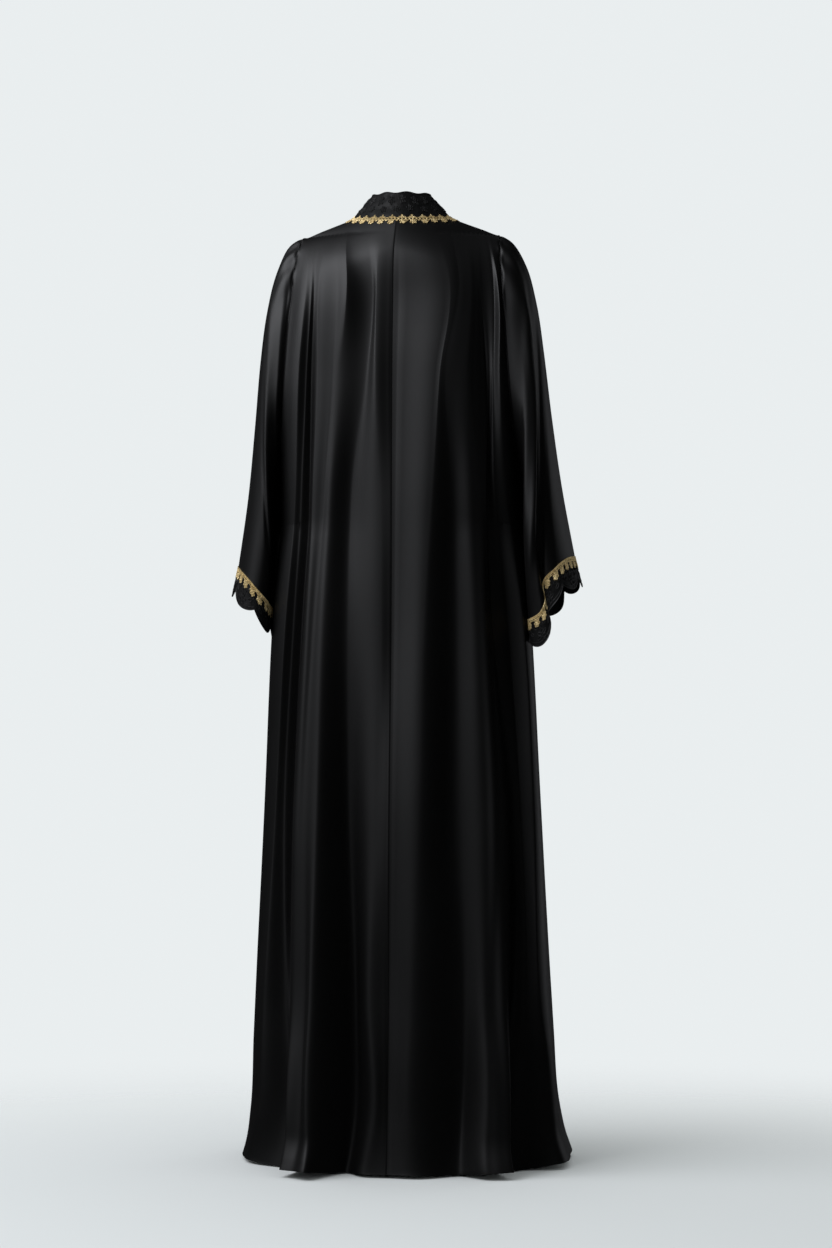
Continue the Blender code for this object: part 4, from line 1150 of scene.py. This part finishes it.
def worked(form, mesh):
    """A sheet with the thread worked on it, as the form of one piece."""
    corners, faces, kinds, weave = form
    added = np.concatenate(mesh.corners) - ORIGIN
    more = np.concatenate(mesh.faces) + len(corners)
    return (
        np.concatenate([corners, added]),
        np.concatenate([faces, more]),
        np.concatenate([kinds, np.full(len(more), 2)]),
        np.concatenate([weave, added]),
    )


def threads(name, mesh, material, node_name):
    form = (np.concatenate(mesh.corners) - ORIGIN, np.concatenate(mesh.faces))
    form = (*form, np.zeros(len(form[1])), None)
    return make(name, form, [material], node_name)


# Neckband.
BAND_ROWS = 14
NECK_STEPS = 520
edge, edge_normals, top = neck_ring(*(grids[n] for n in ("back_left", "back_right", "front")))
edge, edge_normals, top = resample(edge, [edge_normals, top], NECK_STEPS)
even = ease(-0.01, 0.03, edge[:, 1])[:, None]
base = edge + (evened(edge, BAND_EVENING) - edge) * even
top = top + (evened(top, BAND_EVENING) - top) * even
turn = np.arange(NECK_STEPS) / NECK_STEPS * 2 * np.pi
top[:, 2] += BAND_WAVE * np.sin(BAND_WAVES * turn) * even[:, 0]
away = unit(top - base)
steps = np.linspace(0, 1, BAND_ROWS + 1)
band = np.stack([base + away * BAND_GAP + (top - base) * f for f in steps], axis=1)
band_normals = grid_normals(band, True)
if np.dot(band_normals[0, 1], edge[0] - edge.mean(0)) < 0:
    band_normals = -band_normals
under = base - away * SEAM_LAP - band_normals[:, 0] * (SHEET_WALL + SEAM_GAP)
form = shell(
    np.concatenate([under[:, None], band], axis=1),
    np.concatenate([band_normals[:, :1], band_normals], axis=1), SHEET_WALL, True,
)
lines = [0, 4, 7, 11, 14]
across = np.linspace(0, 1, len(lines)) * BAND_RISE
strip = Strip(band[:, lines], band_normals[:, lines], across)
mesh = Mesh()
mesh.thread(band[:, -1], band_normals[:, -1], LACE_RIM)
neck_lace_work(mesh, strip)
form = worked(form, mesh)
pieces["neckband"] = make("lace_neckband", form, [LACE, LACE, LACE_THREAD], "neckband")

# Cuff lace.
LACE_ROWS = 16
LACE_ACROSS = (-0.042, -0.030, -0.018, 0.0)
for side in ("left", "right"):
    points, normals = grids["sleeve_" + side]
    ring, onward, outward = cuff_frame(points, normals)
    depth = LACE_DEPTH + SCALLOP_DEPTH * scallop(ring, side)
    shares = np.linspace(0, 1, LACE_ROWS + 1)
    rows = np.stack([ring + onward * (SEAM_GAP + depth[:, None] * f) for f in shares], axis=1)
    out = np.repeat(outward[:, None], LACE_ROWS + 1, axis=1)
    form = shell(rows, out, SHEET_WALL, True)
    strip = cuff_strip([ring - onward * v for v in LACE_ACROSS], outward, LACE_ACROSS)
    mesh = Mesh()
    lace_edge(mesh, rows, outward)
    first = FIRST_NOTCH[side] / distance_round(ring)[-1] * strip.length
    cuff_lace_work(mesh, strip, first, SCALLOPS[side])
    form = worked(form, mesh)
    name = "cuff_lace_" + side
    pieces[name] = make("lace_cuff_" + side, form, [LACE, LACE, LACE_THREAD], name)

CUFF_ACROSS = (-0.0135, -0.009, -0.0045, 0.0, 0.0062)
for side in ("left", "right"):
    points, normals = grids["sleeve_" + side]
    ring, onward, outward = cuff_frame(points, normals)
    upward = unit(refine(points[:, -4] - points[:, -1], 4))
    rows = [ring + (onward * -v if v < 0 else upward * v) for v in CUFF_ACROSS]
    strip = cuff_strip(rows, outward, CUFF_ACROSS)
    name = "cuff_trim_" + side
    pieces[name] = threads("braid_cuff_" + side, cuff_braid(strip), GOLD, name)

NECK_ACROSS = (-0.0135, -0.010, -0.0065, -0.003, 0.0, 0.003, 0.0078)
upward = unit(band[:, 2] - band[:, 0])
run = np.roll(edge, -1, 0) - np.roll(edge, 1, 0)
down = unit(np.cross(edge_normals, run))
down *= np.sign(np.sum(down * (edge - edge.mean(0)), axis=1, keepdims=True))
panel_surface = outer_surface([grids[n][0] for n in ("back_left", "back_right", "front")], False)
band_surface = outer_surface([band], True)
rows, outs = [], []
for v in NECK_ACROSS:
    if v < 0:
        rows.append(laid_on(panel_surface, edge - down * v))
        outs.append(edge_normals)
    else:
        rows.append(laid_on(band_surface, edge + upward * v) if v > 0 else edge)
        outs.append(band_normals[:, 1] if v > 0 else unit(edge_normals + band_normals[:, 1]))
strip = Strip(np.stack(rows, axis=1), unit(np.stack(outs, axis=1)), NECK_ACROSS)
behind = np.where(edge[:, 1] > 0, np.abs(edge[:, 0]), 1.0)
start = strip.along[int(np.argmin(behind))] + 0.0086
mesh = neck_braid(strip, start)
pieces["neck_trim"] = threads("braid_neck", mesh, GOLD, "neck_trim")

# What each sheet was cut to: width, length and area, flat.
CUTS = dict(
    back_left=(0.47, 1.54, 0.47, "hung"),
    back_right=(0.49, 1.53, 0.47, "hung"),
    front=(0.84, 1.53, 0.83, "hung"),
    sleeve_left=(1.04, 0.55, 0.19, "hung"),
    sleeve_right=(1.04, 0.54, 0.19, "hung"),
    neckband=(0.81, 0.05, 0.034, "stretched"),
    cuff_lace_left=(0.60, 0.043, 0.020, "hung"),
    cuff_lace_right=(0.63, 0.043, 0.021, "hung"),
)
ON_SHEET = dict(
    neckband=["neck_trim"],
    cuff_lace_left=["cuff_trim_left"],
    cuff_lace_right=["cuff_trim_right"],
)
for name, (width, length, area, held) in CUTS.items():
    laid = [pieces[n] for n in ON_SHEET.get(name, ())]

# Floor, light and camera.
FLOOR = -SHOULDER_HEIGHT


def seen(left, near, height):
    """A point by its place in the picture: to the left, towards the camera and up."""
    return Vector((
        left * math.cos(TURN) - near * math.sin(TURN),
        left * math.sin(TURN) + near * math.cos(TURN),
        height,
    ))


def lamp(name, place, target, size, power, colour):
    light = bpy.data.lights.new(name, "AREA")
    light.shape = "RECTANGLE"
    light.size, light.size_y = size
    light.energy = power
    light.color = colour
    made = bpy.data.objects.new(name, light)
    made.location = place
    made.rotation_euler = (target - place).to_track_quat("-Z", "Y").to_euler()
    bpy.context.scene.collection.objects.link(made)


FLOOR_RADIUS = 4
FLOOR_FADE = (1.4, 2.7)


def floor_material():
    """A pale floor that fades into the pale surroundings a few metres out."""
    material, tree, shader = new_material(
        "studio_floor", Roughness=0.7, Specular_IOR_Level=0.2, Base_Color=(0.73, 0.75, 0.745, 1)
    )
    clear = node(tree, "ShaderNodeBsdfTransparent")
    mix = node(tree, "ShaderNodeMixShader")
    length = node(tree, "ShaderNodeVectorMath", operation="LENGTH")
    fade = node(tree, "ShaderNodeMapRange", interpolation_type="SMOOTHSTEP")
    for socket, value in zip(("From Min", "From Max"), FLOOR_FADE):
        fade.inputs[socket].default_value = value
    for out, into in (
        (object_place(tree), length.inputs[0]),
        (length.outputs["Value"], fade.inputs["Value"]),
        (fade.outputs["Result"], mix.inputs["Fac"]),
        (shader.outputs["BSDF"], mix.inputs[1]),
        (clear.outputs["BSDF"], mix.inputs[2]),
        (mix.outputs["Shader"], tree.nodes["Material Output"].inputs["Surface"]),
    ):
        tree.links.new(out, into)
    return material


floor_mesh = bpy.data.meshes.new("floor")
turns = [2 * math.pi * k / 96 for k in range(96)]
rim = [(FLOOR_RADIUS * math.cos(a), FLOOR_RADIUS * math.sin(a), 0) for a in turns]
floor_mesh.from_pydata(rim, [], [list(range(96))])
floor_mesh.materials.append(floor_material())
floor = bpy.data.objects.new("floor", floor_mesh)
floor.location = seen(0, 1.5, FLOOR)
floor.visible_glossy = False
bpy.context.scene.collection.objects.link(floor)

ROOM_LIGHT = 0.75
ROOM_GLOSS = 0.012
world = bpy.data.worlds.new("studio")
world.use_nodes = True
tree = world.node_tree
rays = tree.nodes.new("ShaderNodeLightPath")


def surroundings(strength):
    made = tree.nodes.new("ShaderNodeBackground")
    made.inputs["Color"].default_value = (0.82, 0.855, 0.865, 1)
    made.inputs["Strength"].default_value = strength
    return made.outputs["Background"]


def choose(ray, other, picked):
    made = tree.nodes.new("ShaderNodeMixShader")
    tree.links.new(rays.outputs[ray], made.inputs["Fac"])
    tree.links.new(other, made.inputs[1])
    tree.links.new(picked, made.inputs[2])
    return made.outputs["Shader"]


room = choose("Is Glossy Ray", surroundings(ROOM_LIGHT), surroundings(ROOM_GLOSS))
room = choose("Is Camera Ray", room, surroundings(1.0))
tree.links.new(room, tree.nodes["World Output"].inputs["Surface"])
bpy.context.scene.world = world
bpy.context.scene.view_settings.view_transform = "Standard"

LAMP_COLOUR = (0.985, 1.0, 1.05)
lamp("key", seen(1.88, 1.0, 1.48), Vector((0, 0, -0.01)), (2.63, 2.63), 75, LAMP_COLOUR)
lamp("rim", seen(-1.75, -1.5, -0.5), Vector((0, 0, -0.8)), (0.8, 2.2), 2.5, LAMP_COLOUR)

camera = bpy.data.cameras.new("camera")
camera.sensor_width = SENSOR
camera.lens = PICTURE_DISTANCE / PICTURE_HEIGHT * SENSOR
camera.clip_start, camera.clip_end = 0.1, 60
view = bpy.data.objects.new("camera", camera)
view.location = seen(EYE_ASIDE, VIEW_DISTANCE, EYE_HEIGHT - SHOULDER_HEIGHT)
view.rotation_euler = (-seen(0, 1, 0)).to_track_quat("-Z", "Y").to_euler()
bpy.context.scene.collection.objects.link(view)
bpy.context.scene.camera = view
